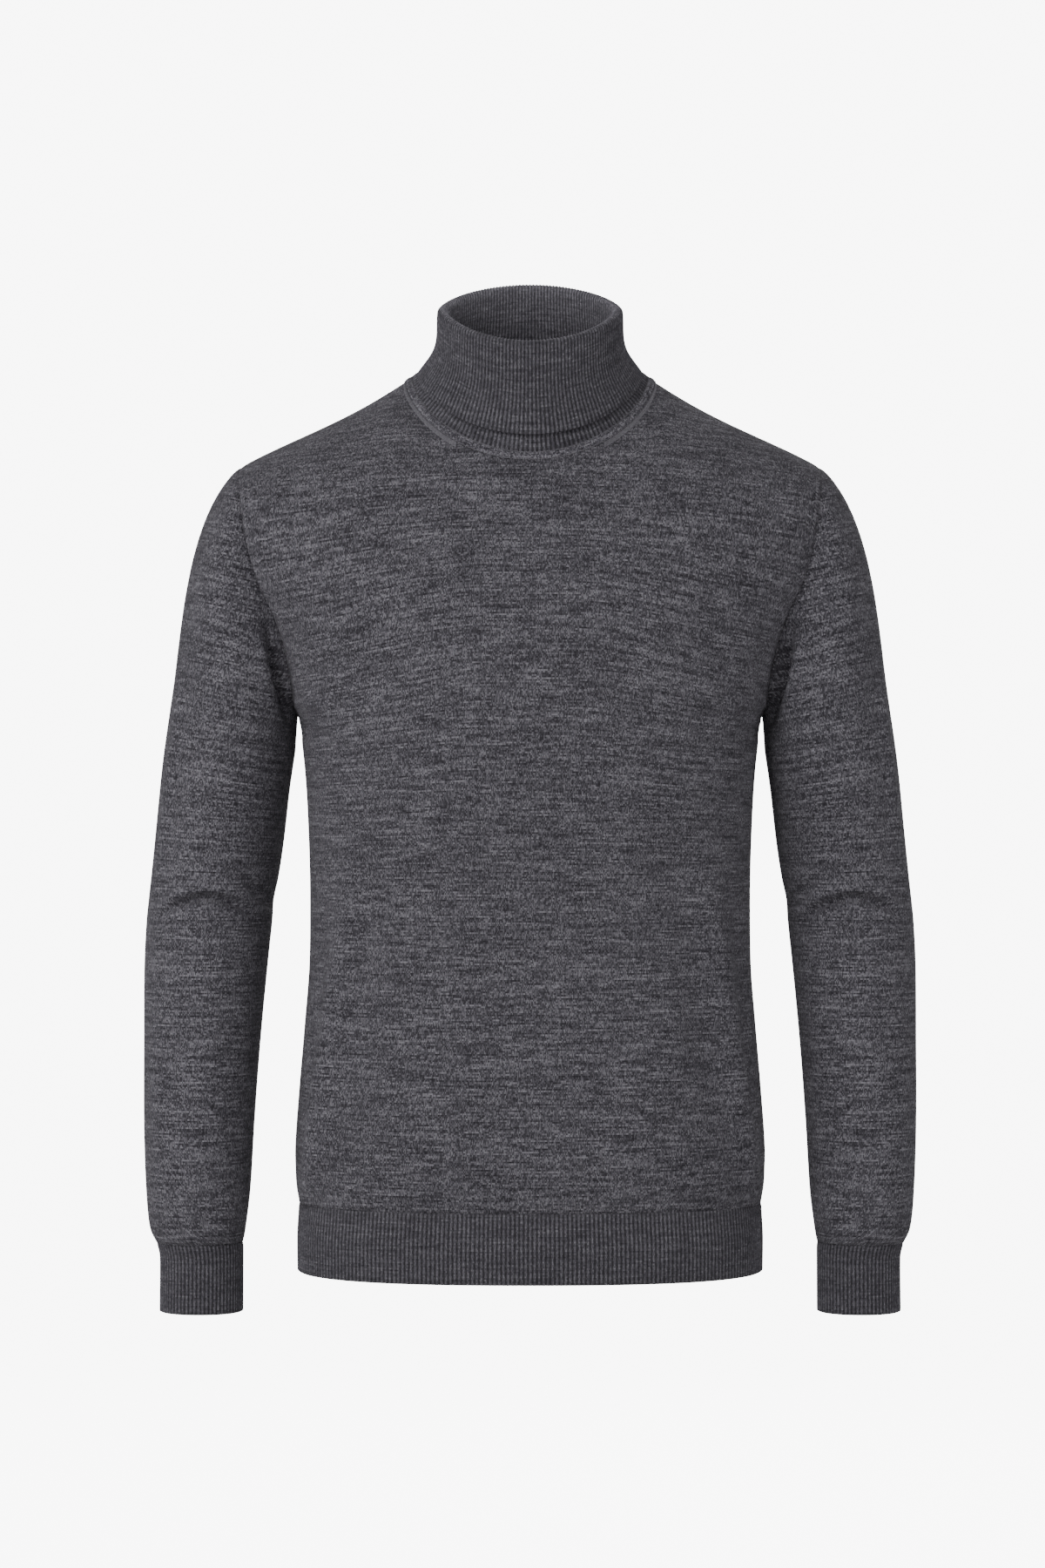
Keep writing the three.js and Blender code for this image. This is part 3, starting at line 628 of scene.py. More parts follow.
def body_rows(facing, z, shares):
    """Rows of a half front or back below the armpit, with their points spaced evenly, and their lengths."""
    steps = np.sin(np.pi / 2 * np.linspace(0, 1, 241))
    xs, lengths = [], []
    for level in z:
        across = read(TORSO, "z", "half", level) * steps
        length = walked(stack(across, skin_depth(facing, across, np.full_like(across, level))))
        xs.append(np.interp(shares * length[-1], length, across))
        lengths.append(length[-1])
    x = np.array(xs)
    y = skin_depth(facing, x, z[:, None]) * (shares < 1) + SEAM / 2
    return stack(x, OUTWARD[facing] * y, z[:, None]), lengths


def neck_point(level, turn):
    """A point of a ring round the neck: turn 0 is the wearer's left and a quarter on is the back."""
    sin = np.sin(turn)
    front = sin < 0
    across = np.abs(sin)
    return stack(
        level.half * np.cos(turn),
        mix(level.side, np.where(front, level.front, level.back), across),
        mix(level.side_z, np.where(front, level.front_z, level.back_z), across**NECK_ARCH))


def neck_facing(turn):
    up = mix(NECK_UP_MIDDLE, NECK_UP_SIDE, np.cos(turn)**2)
    return unit(stack(NECK_SIDEWAYS * np.cos(turn), np.sin(turn), up))


def armhole_facing(facing, share):
    tilt = ARMHOLE_SIDEWAYS * smooth((share - ARMHOLE_TURNS_AT) / (1 - ARMHOLE_TURNS_AT))
    return unit(stack(tilt, OUTWARD[facing] * np.sin(np.pi * share), -np.cos(np.pi * share)))


def armhole_point(facing, share):
    place = row_at(ARMHOLE, "at", share)
    return stack(place.x, OUTWARD[facing] * getattr(place, facing), place.z)


def armhole_share(run):
    """How far up an armhole a row lies."""
    return 1 - (1 - run)**SHOULDER_CROWDING


def grid_normals(grid, wraps, sign=1):
    """Normals of a grid of points. Rows of a tube wrap round."""
    if wraps:
        along = np.roll(grid, -1, axis=1) - np.roll(grid, 1, axis=1)
    else:
        along = np.gradient(grid, axis=1)
    return unit(np.cross(along, np.gradient(grid, axis=0))) * sign


def panel_top(facing, shares, turn):
    """Points of a half panel's neckline and shoulder seam."""
    along = np.clip((shares - NECK_SHARE) / (1 - NECK_SHARE), 0, 1)
    x = mix(NECK_EDGE.half, ARMHOLE[-1].x, along)
    shoulder = stack(x, mix(NECK_EDGE.side, ARMHOLE[-1].back, along), shoulder_height(facing, x))
    return np.where((shares <= NECK_SHARE)[:, None], neck_point(NECK_EDGE, turn), shoulder)


def yoke_rows(facing, shares, climb, base, tops):
    """Rows of a half panel from its row at the armpit up to its top, which settle into its edges."""
    away = OUTWARD[facing]

    def off_skin(points):
        return points[..., 1] * away - skin_depth(facing, points[..., 0], points[..., 2])

    w = climb[:, None]
    edge = armhole_point(facing, climb)
    pull = (edge - mix(base[-1], tops[-1], w))[:, None]
    flat = mix(base, tops, w[:, None]) + (shares**ARMHOLE_PULL)[:, None] * pull
    x, z = flat[..., 0], flat[..., 2]
    at_corner = off_skin(armhole_point(facing, 1))
    at_edge = off_skin(edge)[:, None] - w**TOP_HOLD * at_corner
    settle = w**TOP_HOLD * off_skin(tops) + shares**ARMHOLE_HOLD * at_edge
    return stack(x, away * (skin_depth(facing, x, z) + settle + SEAM / 2), z)


def yoke_cut(facing, points, normals):
    """Places in the flat knit of a half panel's rows above the one at the armpit."""
    across = points[1:, :, :1] * np.sin(np.pi / 2 * np.linspace(0, 1, 17))
    deep = skin_depth(facing, across, points[1:, :, 2:])
    steep = np.sqrt(np.clip(1 - normals[:-1, :, 2]**2, 0.04, 1))
    up = ARMPIT + np.cumsum(np.diff(points[..., 2], axis=0) / steep, axis=0)
    return stack(np.hypot(np.diff(across), np.diff(deep)).sum(-1), up)


def droop(points):
    """How far the courses sink at a panel's points."""
    beside = smooth((np.abs(points[..., 0]) - DROOP_START) / DROOP_REACH)
    return DROOP * beside * np.exp(-((points[..., 2] - DROOP_HEIGHT) / DROOP_SPREAD)**2)


def half_panel(facing):
    """The wearer's left half of the front or back: points, normals and places in the flat knit."""
    away = OUTWARD[facing]
    shares = np.linspace(0, 1, HALF_COLUMNS + 1)
    turn = away * np.pi / 2 * np.clip(1 - shares / NECK_SHARE, 0, 1)
    levels = np.linspace(HEM_LINE + SEAM / 2, ARMPIT, SIDE_ROWS + 1)
    climb = armhole_share(np.linspace(0, 1, YOKE_ROWS + 1))
    sides, lengths = body_rows(facing, levels, shares)
    yoke = yoke_rows(facing, shares, climb[1:], sides[-1], panel_top(facing, shares, turn))
    points = np.concatenate([sides, yoke])
    normals = grid_normals(points, False, -away)
    sides_cut = stack(shares * lengths[-1], levels[:, None])
    cut = np.concatenate([sides_cut, yoke_cut(facing, points[SIDE_ROWS:], normals[SIDE_ROWS:])])
    cut[..., 1] += droop(points)

    neckline = shares < NECK_SHARE
    normals[:, 0, 0] = 0
    normals[:SIDE_ROWS, -1] = (1, 0, 0)
    normals[SIDE_ROWS:, -1] = armhole_facing(facing, climb)
    normals[-1, neckline] = neck_facing(turn[neckline])
    normals[-1, ~neckline] = SHOULDER_FACING
    normals[0, :, 2] = 0
    return points, unit(normals), cut


def edge_distance(points):
    """Distance of each point of a grid from its first row, its last row and its last column."""
    down = walked(points)
    across = walked(points.swapaxes(0, 1)).T
    return down, down[-1:] - down, across[:, -1:] - across


def dip(distance, depth):
    return depth * np.exp(-(distance / DIP_WIDTH)**2)


# Shells of cloth.

def quads(rows, columns, wraps):
    """Corners of the cells of a grid whose rows close on themselves: their rows and their columns."""
    across = columns if wraps else columns - 1
    r, c = (index.ravel() for index in np.meshgrid(np.arange(rows), np.arange(across), indexing="ij"))
    return np.stack([r, r, r + 1, r + 1], -1) % rows, np.stack([c, c + 1, c + 1, c], -1)


def add_piece(name, data):
    """An object in the scene with its data."""
    piece = bpy.data.objects.new(name, data)
    bpy.context.scene.collection.objects.link(piece)
    return piece


def carry(mesh, label, kind, values):
    """Writes a value on each point of a mesh, under a name that node trees read."""
    field = {"FLOAT": "value", "FLOAT_VECTOR": "vector"}[kind]
    mesh.attributes.new(label, kind, "POINT").data.foreach_set(field, np.asarray(values, float).ravel())


def shell(name, rings, cut, wraps, ribs=()):
    """A closed wall of cloth from rings of points that run up its outside and back down its inside.

    cut places each point in the flat knit, and has one more column than a tube has. ribs gives each
    point's place across the ribs, and how much of a rib's rise it takes."""
    rows, columns = rings.shape[:2]
    r, c = quads(rows, columns, wraps)
    faces = r * columns + c % columns
    corners = cut[r, c]
    if not wraps:
        low = np.arange(rows // 2 - 1)
        pairs = np.stack([low, low + 1, rows - 2 - low, rows - 1 - low], -1)
        for column, ends in ((0, pairs), (columns - 1, pairs[:, ::-1])):
            faces = np.concatenate([faces, ends * columns + column])
            corners = np.concatenate([corners, cut[ends, column]])
    points = rings.reshape(-1, 3)
    a, b, d, e = (points[faces[:, k]] for k in range(4))
    volume = (a * np.cross(b, d)).sum() + (a * np.cross(d, e)).sum()
    if volume < 0:
        faces = faces[:, ::-1]
        corners = corners[:, ::-1]
    mesh = bpy.data.meshes.new(name)
    mesh.vertices.add(len(points))
    mesh.vertices.foreach_set("co", points.ravel())
    mesh.loops.add(faces.size)
    mesh.loops.foreach_set("vertex_index", faces.ravel())
    mesh.polygons.add(len(faces))
    mesh.polygons.foreach_set("loop_start", np.arange(len(faces)) * 4)
    mesh.polygons.foreach_set("use_smooth", np.ones(len(faces), bool))
    mesh.uv_layers.new(name="cut").data.foreach_set("uv", corners.reshape(-1))
    for label, values in zip(("rib_place", "rib_share"), ribs):
        carry(mesh, label, "FLOAT", np.broadcast_to(values, (rows, columns)))
    mesh.update()
    mesh.validate()
    return add_piece(name, mesh)


def wall(name, outer, normals, cut, thickness, wraps=False):
    """A shell whose inside is its outside set back by the cloth's thickness."""
    inner = outer - normals * thickness
    return shell(name, np.concatenate([outer, inner[::-1]]), np.concatenate([cut, cut[::-1]]), wraps)


def ribbed_wall(name, outer, normals, cut, place, wraps):
    """A ribbed wall whose last row is a free, rounded edge."""
    inner = outer - normals * RIB_KNIT
    edge = [outer[-1:] + RIB_KNIT * (EDGE_DROP * DOWN - depth * normals[-1:]) for depth in EDGE_ROWS]
    rings = np.concatenate([outer, *edge, inner[::-1]])
    shares = np.zeros((len(rings), 1))
    shares[:len(outer)] = 1
    shares[0] = RIB_AT_SEAM
    shares[len(outer)] = RIB_AT_EDGE
    places = np.concatenate([cut, cut[-1:], cut[-1:], cut[::-1]])
    return raise_ribs(shell(name, rings, places, wraps, (place, shares)))


# Node helpers.

def fill(tree, inputs, values):
    """Gives inputs their values, or links them to the outputs that make them."""
    for key, value in values.items():
        if isinstance(value, bpy.types.NodeSocket):
            tree.links.new(value, inputs[key])
        else:
            inputs[key].default_value = value


def add_node(tree, kind, inputs=None, **settings):
    made = tree.nodes.new(kind)
    for name, value in settings.items():
        setattr(made, name, value)
    fill(tree, made.inputs, inputs or {})
    return made


def calc(tree, operation, *values):
    return add_node(tree, "ShaderNodeMath", dict(enumerate(values)), operation=operation).outputs[0]


def wave(tree, value):
    """A wave that crests at each whole value."""
    return calc(tree, "COSINE", calc(tree, "MULTIPLY", value, 2 * math.pi))


def hump(tree, value):
    """A rounded hump between each whole value and the next."""
    return calc(tree, "SINE", calc(tree, "MULTIPLY", calc(tree, "FRACT", value), math.pi))


def times(tree, vector, by):
    return add_node(tree, "ShaderNodeVectorMath", {0: vector, "Scale": by}, operation="SCALE").outputs[0]


def split(tree, place):
    """The sizes of a place across and up."""
    return add_node(tree, "ShaderNodeSeparateXYZ", {0: place}).outputs[:2]


def joined(tree, x, y, z):
    return add_node(tree, "ShaderNodeCombineXYZ", {0: x, 1: y, 2: z}).outputs[0]


def scaled(tree, place, wide, high, depth):
    """A place in the flat knit, in units of one size across and another size up."""
    x, y = split(tree, place)
    return joined(tree, calc(tree, "DIVIDE", x, wide), calc(tree, "DIVIDE", y, high), depth)


def noise(tree, place, roughness, detail=2.0, scale=1.0):
    made = add_node(tree, "ShaderNodeTexNoise", {
        "Vector": place, "Scale": scale, "Detail": detail, "Roughness": roughness}, noise_dimensions="3D")
    return made.outputs["Fac"]


def bumped(tree, *layers):
    """A surface bumped by each layer in turn: its height, how far it rises and how strongly."""
    under = {}
    for height, distance, strength in layers:
        sizes = {"Height": height, "Distance": distance, "Strength": strength}
        normal = add_node(tree, "ShaderNodeBump", {**sizes, **under}).outputs[0]
        under = {"Normal": normal}
    return normal


def yarn_colours(tree, shade, colours, tint=1.0):
    """Turns a shade into colours of the yarn. Each colour is given with its shade, darkest first."""
    ramp = add_node(tree, "ShaderNodeValToRGB", {0: shade})
    stops = ramp.color_ramp.elements
    shades = list(colours)
    stops[0].position, stops[1].position = shades[0], shades[-1]
    for between_ends in shades[1:-1]:
        stops.new(between_ends)
    for stop, colour in zip(stops, colours.values()):
        stop.color = (*(tint * part for part in colour), 1)
    return ramp.outputs[0]


def new_material(name):
    """A material with its node tree."""
    material = bpy.data.materials.new(name)
    material.use_nodes = True
    return material, material.node_tree


def finish_surface(tree, values):
    fill(tree, tree.nodes["Principled BSDF"].inputs, values)


def shared(collection, name, make, *settings):
    """A material or node tree that is made once and used by several pieces."""
    return collection.get(name) or make(name, *settings)


# Materials.

def melange_value(tree, place, wale, course, seed, contrast):
    """How pale the yarn is: grains of a stitch's leg, flecks and streaks along a course, wide clouds."""
    x, y = split(tree, place)
    row = calc(tree, "FLOOR", calc(tree, "DIVIDE", y, course))
    leg = calc(tree, "FLOOR", calc(tree, "DIVIDE", x, wale / 2))
    leg_place = joined(tree, leg, row, seed)
    grain = add_node(tree, "ShaderNodeTexWhiteNoise", {0: leg_place}, noise_dimensions="3D").outputs[0]

    def along_row(length, step, depth):
        spot = joined(tree, calc(tree, "DIVIDE", x, length), calc(tree, "MULTIPLY", row, step), depth)
        return noise(tree, spot, 0.6)

    flecks = along_row(0.0040, 3.71, seed)
    streaks = along_row(0.030, 2.37, seed + 4.0)
    clouds = noise(tree, scaled(tree, place, 0.060, 0.014, seed + 9.0), 0.5)
    total = 0.5
    for value, share in ((grain, 0.40), (flecks, 0.30), (streaks, 0.72), (clouds, 0.10)):
        total = calc(tree, "MULTIPLY_ADD", calc(tree, "SUBTRACT", value, 0.5), contrast * share, total)
    return total


def stitch_height(tree, place, wale, course):
    """Height of a plain knit stitch: two rounded legs in each wale, leaning together like a V."""
    x, y = split(tree, place)
    across = calc(tree, "FRACT", calc(tree, "DIVIDE", x, wale))
    lean = calc(tree, "ABSOLUTE", calc(tree, "SUBTRACT", across, 0.5))
    leg = hump(tree, calc(tree, "MULTIPLY", across, 2.0))
    loop = hump(tree, calc(tree, "ADD", calc(tree, "DIVIDE", y, course), lean))
    return calc(tree, "MULTIPLY", leg, calc(tree, "MULTIPLY_ADD", loop, 0.5, 0.5))


def knit_material(name, wale_share, seed, tint=1.0, ribbed=False):
    """Melange knit: coloured along its courses, with stitches, small puckers and a soft nap; painted shade in
    the hollows between the stitches, and on ribbed knit painted shade in the grooves and painted light on the
    crests of the ribs.
    """
    yarn = bpy.context.scene.sweater_yarn
    knit = bpy.context.scene.sweater_cut
    wale = wale_share * knit.wale
    material, tree = new_material(name)
    place = add_node(tree, "ShaderNodeUVMap", uv_map="cut").outputs[0]
    stitch = stitch_height(tree, place, wale, knit.course)
    pale = melange_value(tree, place, wale, knit.course, seed, 0.5 if ribbed else 1.0)
    # Painted shade: the colour is paler on the raised legs of the stitches and darker in the hollows between
    # them.
    pale = calc(tree, "MULTIPLY_ADD", calc(tree, "SUBTRACT", stitch, 0.5), 0.16, pale)
    colour = yarn_colours(tree, pale, {0.26: yarn.dark, 0.52: yarn.main, 0.80: yarn.pale}, tint)
    if ribbed:
        rib = add_node(tree, "ShaderNodeAttribute", attribute_name="rib_place").outputs["Fac"]
        # Painted shade and painted light: each rib's groove is darkened to 0.4 of the yarn's colour and its
        # crest lightened to 1.4.
        colour = times(tree, colour, calc(tree, "MULTIPLY_ADD", wave(tree, rib), 0.50, 0.90))
    pucker = noise(tree, scaled(tree, place, 0.018, 0.0028, seed + 21.0), 0.55, detail=3.0)
    fuzz = noise(tree, scaled(tree, place, 0.0011, 0.0008, seed + 31.0), 0.6)
    finish_surface(tree, {
        "Base Color": colour,
        "Normal": bumped(tree, (pucker, 0.0008, 0.8), (fuzz, 0.0002, 0.8), (stitch, 0.0003, 0.7)),
        "Roughness": yarn.roughness,
        "Specular IOR Level": 0.22,
        "Sheen Weight": yarn.nap,
        "Sheen Roughness": 0.55,
        "Sheen Tint": (0.62, 0.60, 0.66, 1),
    })
    return material


def yarn_material(name):
    """The single end of melange yarn that links and marks the seams."""
    yarn = bpy.context.scene.sweater_yarn
    material, tree = new_material(name)
    place = add_node(tree, "ShaderNodeTexCoord").outputs["Object"]
    shade = noise(tree, place, 0.6, scale=900.0)
    finish_surface(tree, {
        "Base Color": yarn_colours(tree, shade, {0.25: yarn.main, 0.80: yarn.pale}),
        "Normal": bumped(tree, (shade, 0.0001, 0.7)),
        "Roughness": yarn.roughness,
    })
    return material


def paper_material(name, glow):
    """White paper that glows evenly."""
    material, tree = new_material(name)
    finish_surface(tree, {
        "Base Color": (0.93, 0.93, 0.93, 1),
        "Roughness": 0.95,
        "Emission Color": (1, 1, 1, 1),
        "Emission Strength": glow,
    })
    return material


def plain_knit():
    return shared(bpy.data.materials, "melange_knit", knit_material, 1.0, 0.0)


def rib_knit():
    return shared(bpy.data.materials, "melange_rib", knit_material, 0.9, 50.0, 0.98, True)


def strip_knit():
    return shared(bpy.data.materials, "melange_strip", knit_material, 1.0, 80.0, 1.15)


def sewing_yarn():
    return shared(bpy.data.materials, "sewing_yarn", yarn_material)


# Geometry Nodes.

def node_tree(name, geometry, sizes, result):
    """An empty tree that takes a geometry, its sizes and a knit, and the outputs of its group input."""
    tree = bpy.data.node_groups.new(name, "GeometryNodeTree")
    kinds = {geometry: "Geometry", **dict.fromkeys(sizes, "Float"), "Knit": "Material"}
    for label, kind in kinds.items():
        tree.interface.new_socket(label, in_out="INPUT", socket_type=f"NodeSocket{kind}")
    tree.interface.new_socket(result, in_out="OUTPUT", socket_type="NodeSocketGeometry")
    return tree, tree.nodes.new("NodeGroupInput").outputs


def end_tree(tree, shape, knit):
    """Ends a tree: makes its shape real and gives it its knit."""
    real = add_node(tree, "GeometryNodeRealizeInstances", {0: shape}).outputs[0]
    knitted = add_node(tree, "GeometryNodeSetMaterial", {0: real, "Material": knit}).outputs[0]
    add_node(tree, "NodeGroupOutput", {0: knitted})
    return tree


def carried(tree, label, kind):
    """A value that the points carry under a name."""
    return add_node(tree, "GeometryNodeInputNamedAttribute", {"Name": label}, data_type=kind).outputs[0]


def rib_tree(name):
    """Geometry Nodes that raise ribs along a wall: a rounded ridge for each whole rib place."""
    tree, given = node_tree(name, "Wall", ["Rise"], "Ribbed wall")
    place, share = (carried(tree, label, "FLOAT") for label in ("rib_place", "rib_share"))
    ridge = calc(tree, "MULTIPLY_ADD", wave(tree, place), 0.5, 0.5)
    lift = calc(tree, "MULTIPLY", calc(tree, "MULTIPLY", ridge, share), given["Rise"])
    offset = times(tree, add_node(tree, "GeometryNodeInputNormal").outputs[0], lift)
    raised = add_node(tree, "GeometryNodeSetPosition", {"Geometry": given["Wall"], "Offset": offset})
    return end_tree(tree, raised.outputs[0], given["Knit"])


def stitch_tree(name):
    """Geometry Nodes that lay one plump stitch on each point, facing out and lying along its path."""
    tree, given = node_tree(name, "Places", ["Length", "Thickness"], "Stitches")
    ball = add_node(tree, "GeometryNodeMeshUVSphere", {"Segments": 8, "Rings": 5, "Radius": 0.5})
    turned = add_node(tree, "FunctionNodeAxesToRotation", {
        0: carried(tree, "facing", "FLOAT_VECTOR"), 1: carried(tree, "along", "FLOAT_VECTOR")})
    size = joined(tree, given["Length"], given["Thickness"], given["Thickness"])
    laid = add_node(tree, "GeometryNodeInstanceOnPoints", {
        "Points": given["Places"], "Instance": ball.outputs[0], "Rotation": turned.outputs[0], "Scale": size})
    return end_tree(tree, laid.outputs[0], given["Knit"])


def run_nodes(piece, name, make, settings):
    """Runs a node tree on a piece, keeps the result as its plain mesh and removes the modifier."""
    tree = shared(bpy.data.node_groups, name, make)
    modifier = piece.modifiers.new(name, "NODES")
    modifier.node_group = tree
    for item in tree.interface.items_tree:
        if item.in_out == "INPUT" and item.name in settings:
            modifier[item.identifier] = settings[item.name]
    piece.update_tag()
    evaluated = piece.evaluated_get(bpy.context.evaluated_depsgraph_get())
    mesh = bpy.data.meshes.new_from_object(evaluated)
    piece.modifiers.clear()
    piece.data = mesh
    return piece


def raise_ribs(piece):
    rise = bpy.context.scene.sweater_cut.rib_rise
    return run_nodes(piece, "raised_ribs", rib_tree, {"Rise": rise, "Knit": rib_knit()})


def dress(piece, node, material=None):
    """Puts a finished piece in the place of its solid, with its knit when one is given."""
    if material is not None:
        piece.data.materials.clear()
        piece.data.materials.append(material)
    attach(piece, "root")
    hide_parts(node)


class SWEATER_OT_panels(Operator):
    """Knit the front and the back"""
    bl_idname = "sweater.panels"
    bl_label = "Front and back"

    def execute(self, context):
        depth = context.scene.sweater_cut.seam_dip
        for facing, creases in (("front", FRONT_CREASES), ("back", BACK_CREASES)):
            points, normals, cut = half_panel(facing)
            bottom, top, side = edge_distance(points)
            at_armpit = smooth(np.abs(points[..., 2] - ARMPIT) / ARMPIT_FADE)
            drawn = dip(bottom, RIB_SEAM_DIP * depth) + dip(top, TOP_SEAM_DIP * depth)
            drawn = doubled(drawn + dip(side, depth) * at_armpit)
            outer, normals = doubled(points, MIRROR), doubled(normals, MIRROR)
            rise = fold_rise(BODY_FOLDS + creases, outer[..., 0], outer[..., 2])
            rise = rise * doubled(smooth(side / SIDE_EASE))
            outer = outer + normals * (rise - drawn)[..., None]
            piece = wall(f"{facing}_knit", outer, normals, doubled(cut, MIRROR[:2]), KNIT)
            dress(piece, f"{facing}_panel", plain_knit())
        return {"FINISHED"}


# The sleeves' skin.

def sleeve_ring(ring, turn):
    """A point of a sleeve on the wearer's left: turn 0 is outwards and a quarter on is the front."""
    t = (1 + np.cos(turn)) / 2
    sin = np.sin(turn)
    depth = np.sign(sin) * np.abs(sin)**SLEEVE_BOXINESS
    return stack(mix(ring.inner, ring.outer, t), ring.mid - ring.deep * depth, ring.z + ring.tilt * (t - 0.5))


def elbow_rise(turn, z, side):
    """How far the elbow's creases lift a sleeve."""
    rise = 0
    for fold in ELBOW_FOLDS:
        ahead = np.pi / 2 - fold.turn * (1 if side > 0 else RIGHT_ELBOW_TURN)
        away = np.arctan2(np.sin(turn - ahead), np.cos(turn - ahead))
        ends = np.cos(np.pi / 2 * np.clip(away / fold.reach, -1, 1))
        sag = fold.sag * (away / fold.reach)**2
        rise = rise + fold.rise * ends * np.exp(-((z - fold.z + sag) / fold.wide)**2)
    return rise


def closer_rows(first, last, middle, count):
    """Levels from one height to another that lie closer to each other near the elbow's crease."""
    fine = np.linspace(first, last, 2001)
    density = 1 + ELBOW_CROWDING * np.exp(-((fine - middle) / ELBOW_SPREAD)**2)
    walk = np.concatenate([[0], np.cumsum((density[1:] + density[:-1]) / 2)])
    return np.interp(np.linspace(0, walk[-1], count + 1), walk, fine)


def armhole_ring(turn):
    """A sleeve's first ring: its points, which way the armhole faces, how far up it lies and its side."""
    front = turn < np.pi
    away = np.where(front, -1, 1)
    share = armhole_share(1 - np.where(front, turn / np.pi, 2 - turn / np.pi))
    point, facing = (
        np.where(front[:, None], made("front", share), made("back", share))
        for made in (armhole_point, armhole_facing))
    point[:, 1] += np.where(turn > 0, away, 0) * SEAM / 2
    return point, facing, share, away


def sleeve_head(turn, point, facing, share, away):
    """Rows of a sleeve from its armhole down to its first table ring."""
    across = unit(np.cross(np.roll(point, -1, axis=0) - np.roll(point, 1, axis=0), facing))
    across = across * np.where(across[:, :1] < 0, -1, 1)
    cap = row_at(CAP, "at", 1 - share)
    leave = unit(stack(cap.side, away * cap.away, cap.up)) * cap.start[:, None]
    end = sleeve_ring(SLEEVE[0], turn)
    down = unit(sleeve_ring(SLEEVE[1], turn) - end) * cap.end[:, None]
    return curve(point + across * SEAM, leave, end, down, np.linspace(0, 1, CAP_ROWS + 1)[:, None, None])


def sleeve_cut(plain, folded):
    """Places in the flat knit of a sleeve's points, with and without its folds."""
    x, z = plain[..., 0], plain[..., 2]
    ring = row_at(SLEEVE, "z", z)
    centre = (ring.inner + ring.outer) / 2 - CENTRE_LEAN * np.maximum(0, z - SLEEVE[0].z)
    size = ((ring.outer - ring.inner) / 2 + ring.deep) / 2
    lean = COURSE_LEAN * smooth((z - LEAN_START) / LEAN_REACH)
    around = np.arctan2(ring.mid - folded[..., 1], folded[..., 0] - centre)
    around = np.where(around < -1e-9, around + 2 * np.pi, around)
    around[:, 0] = 0
    cut = stack(around * size, z - lean * (x - centre))
    closing = stack(2 * np.pi * size[:, 0], cut[:, 0, 1])[:, None]
    return np.concatenate([cut, closing], axis=1)


def sleeve_skin(side):
    """A sleeve's outside on the wearer's left, with the creases of the side that it is for."""
    turn = turns(SLEEVE_COLUMNS)
    point, facing, share, away = armhole_ring(turn)
    levels = closer_rows(SLEEVE[0].z, CUFF_LINE + SEAM / 2, ELBOW_FOLDS[0].z, ARM_ROWS)[1:, None]
    arm = sleeve_ring(row_at(SLEEVE, "z", levels), turn)
    plain = np.concatenate([sleeve_head(turn, point, facing, share, away), arm])
    normals = grid_normals(plain, True)
    normals[0] = facing
    normals[1:4] = unit(mix(normals[1:4], facing, CAP_BLEND[:, None, None]))
    normals[-1, :, 2] = 0
    normals[-1] = unit(normals[-1])

    x, z = plain[..., 0], plain[..., 2]
    rise = elbow_rise(turn, z, side)
    for name, creases in SLEEVE_CREASES.items():
        shown = smooth(-OUTWARD[name] * np.sin(turn) / CREASE_FADE)
        rise = rise + shown * fold_rise(creases, x * side, z)
    first, last, _ = edge_distance(plain)
    depth = bpy.context.scene.sweater_cut.seam_dip
    near_armpit = smooth((point[:, 2] - ARMPIT) / ARMPIT_FADE)
    drawn = dip(first, depth) * near_armpit + dip(last, RIB_SEAM_DIP * depth)
    folded = plain + normals * (rise * smooth(first / ARMHOLE_EASE) - drawn)[..., None]
    return folded, normals, sleeve_cut(plain, folded)


class SWEATER_OT_sleeves(Operator):
    """Knit both sleeves"""
    bl_idname = "sweater.sleeves"
    bl_label = "Sleeves"

    def execute(self, context):
        for name, side in SIDES.items():
            rows, normals, cut = sleeve_skin(side)
            flip = np.array([side, 1, 1])
            piece = wall(f"sleeve_knit_{name}", rows * flip, normals * flip, cut, KNIT, wraps=True)
            dress(piece, f"sleeve_{name}", plain_knit())
        return {"FINISHED"}


class SWEATER_OT_hem(Operator):
    """Knit the ribbed hem of the front and of the back"""
    bl_idname = "sweater.hem"
    bl_label = "Hem rib"

    def execute(self, context):
        settings = context.scene.sweater_cut
        depth = settings.seam_dip
        shares = np.linspace(0, 1, settings.hem_ribs * POINTS_ON_RIB // 2 + 1)
        place = doubled(shares[None] * settings.hem_ribs / 2, -1)[0]
        levels = np.linspace(HEM_LINE - SEAM / 2, TORSO[0].z, HEM_ROWS)
        for facing, away in OUTWARD.items():
            points, lengths = body_rows(facing, levels, shares)
            normals = grid_normals(points, False, away)
            normals[:, 0, 0] = 0
            normals[:, -1] = (1, 0, 0)
            normals[..., 2] = 0
            normals = unit(normals)
            top, _, side = edge_distance(points)
            drawn = dip(top, RIB_SEAM_DIP * depth) + dip(side, HEM_SIDE_DIP * depth)
            outer = doubled(points - normals * drawn[..., None], MIRROR)
            cut = doubled(stack(shares * lengths[0], levels[:, None]), MIRROR[:2])
            piece = ribbed_wall(f"hem_knit_{facing}", outer, doubled(normals, MIRROR), cut, place, False)
            dress(piece, f"hem_rib_{facing}")
        return {"FINISHED"}


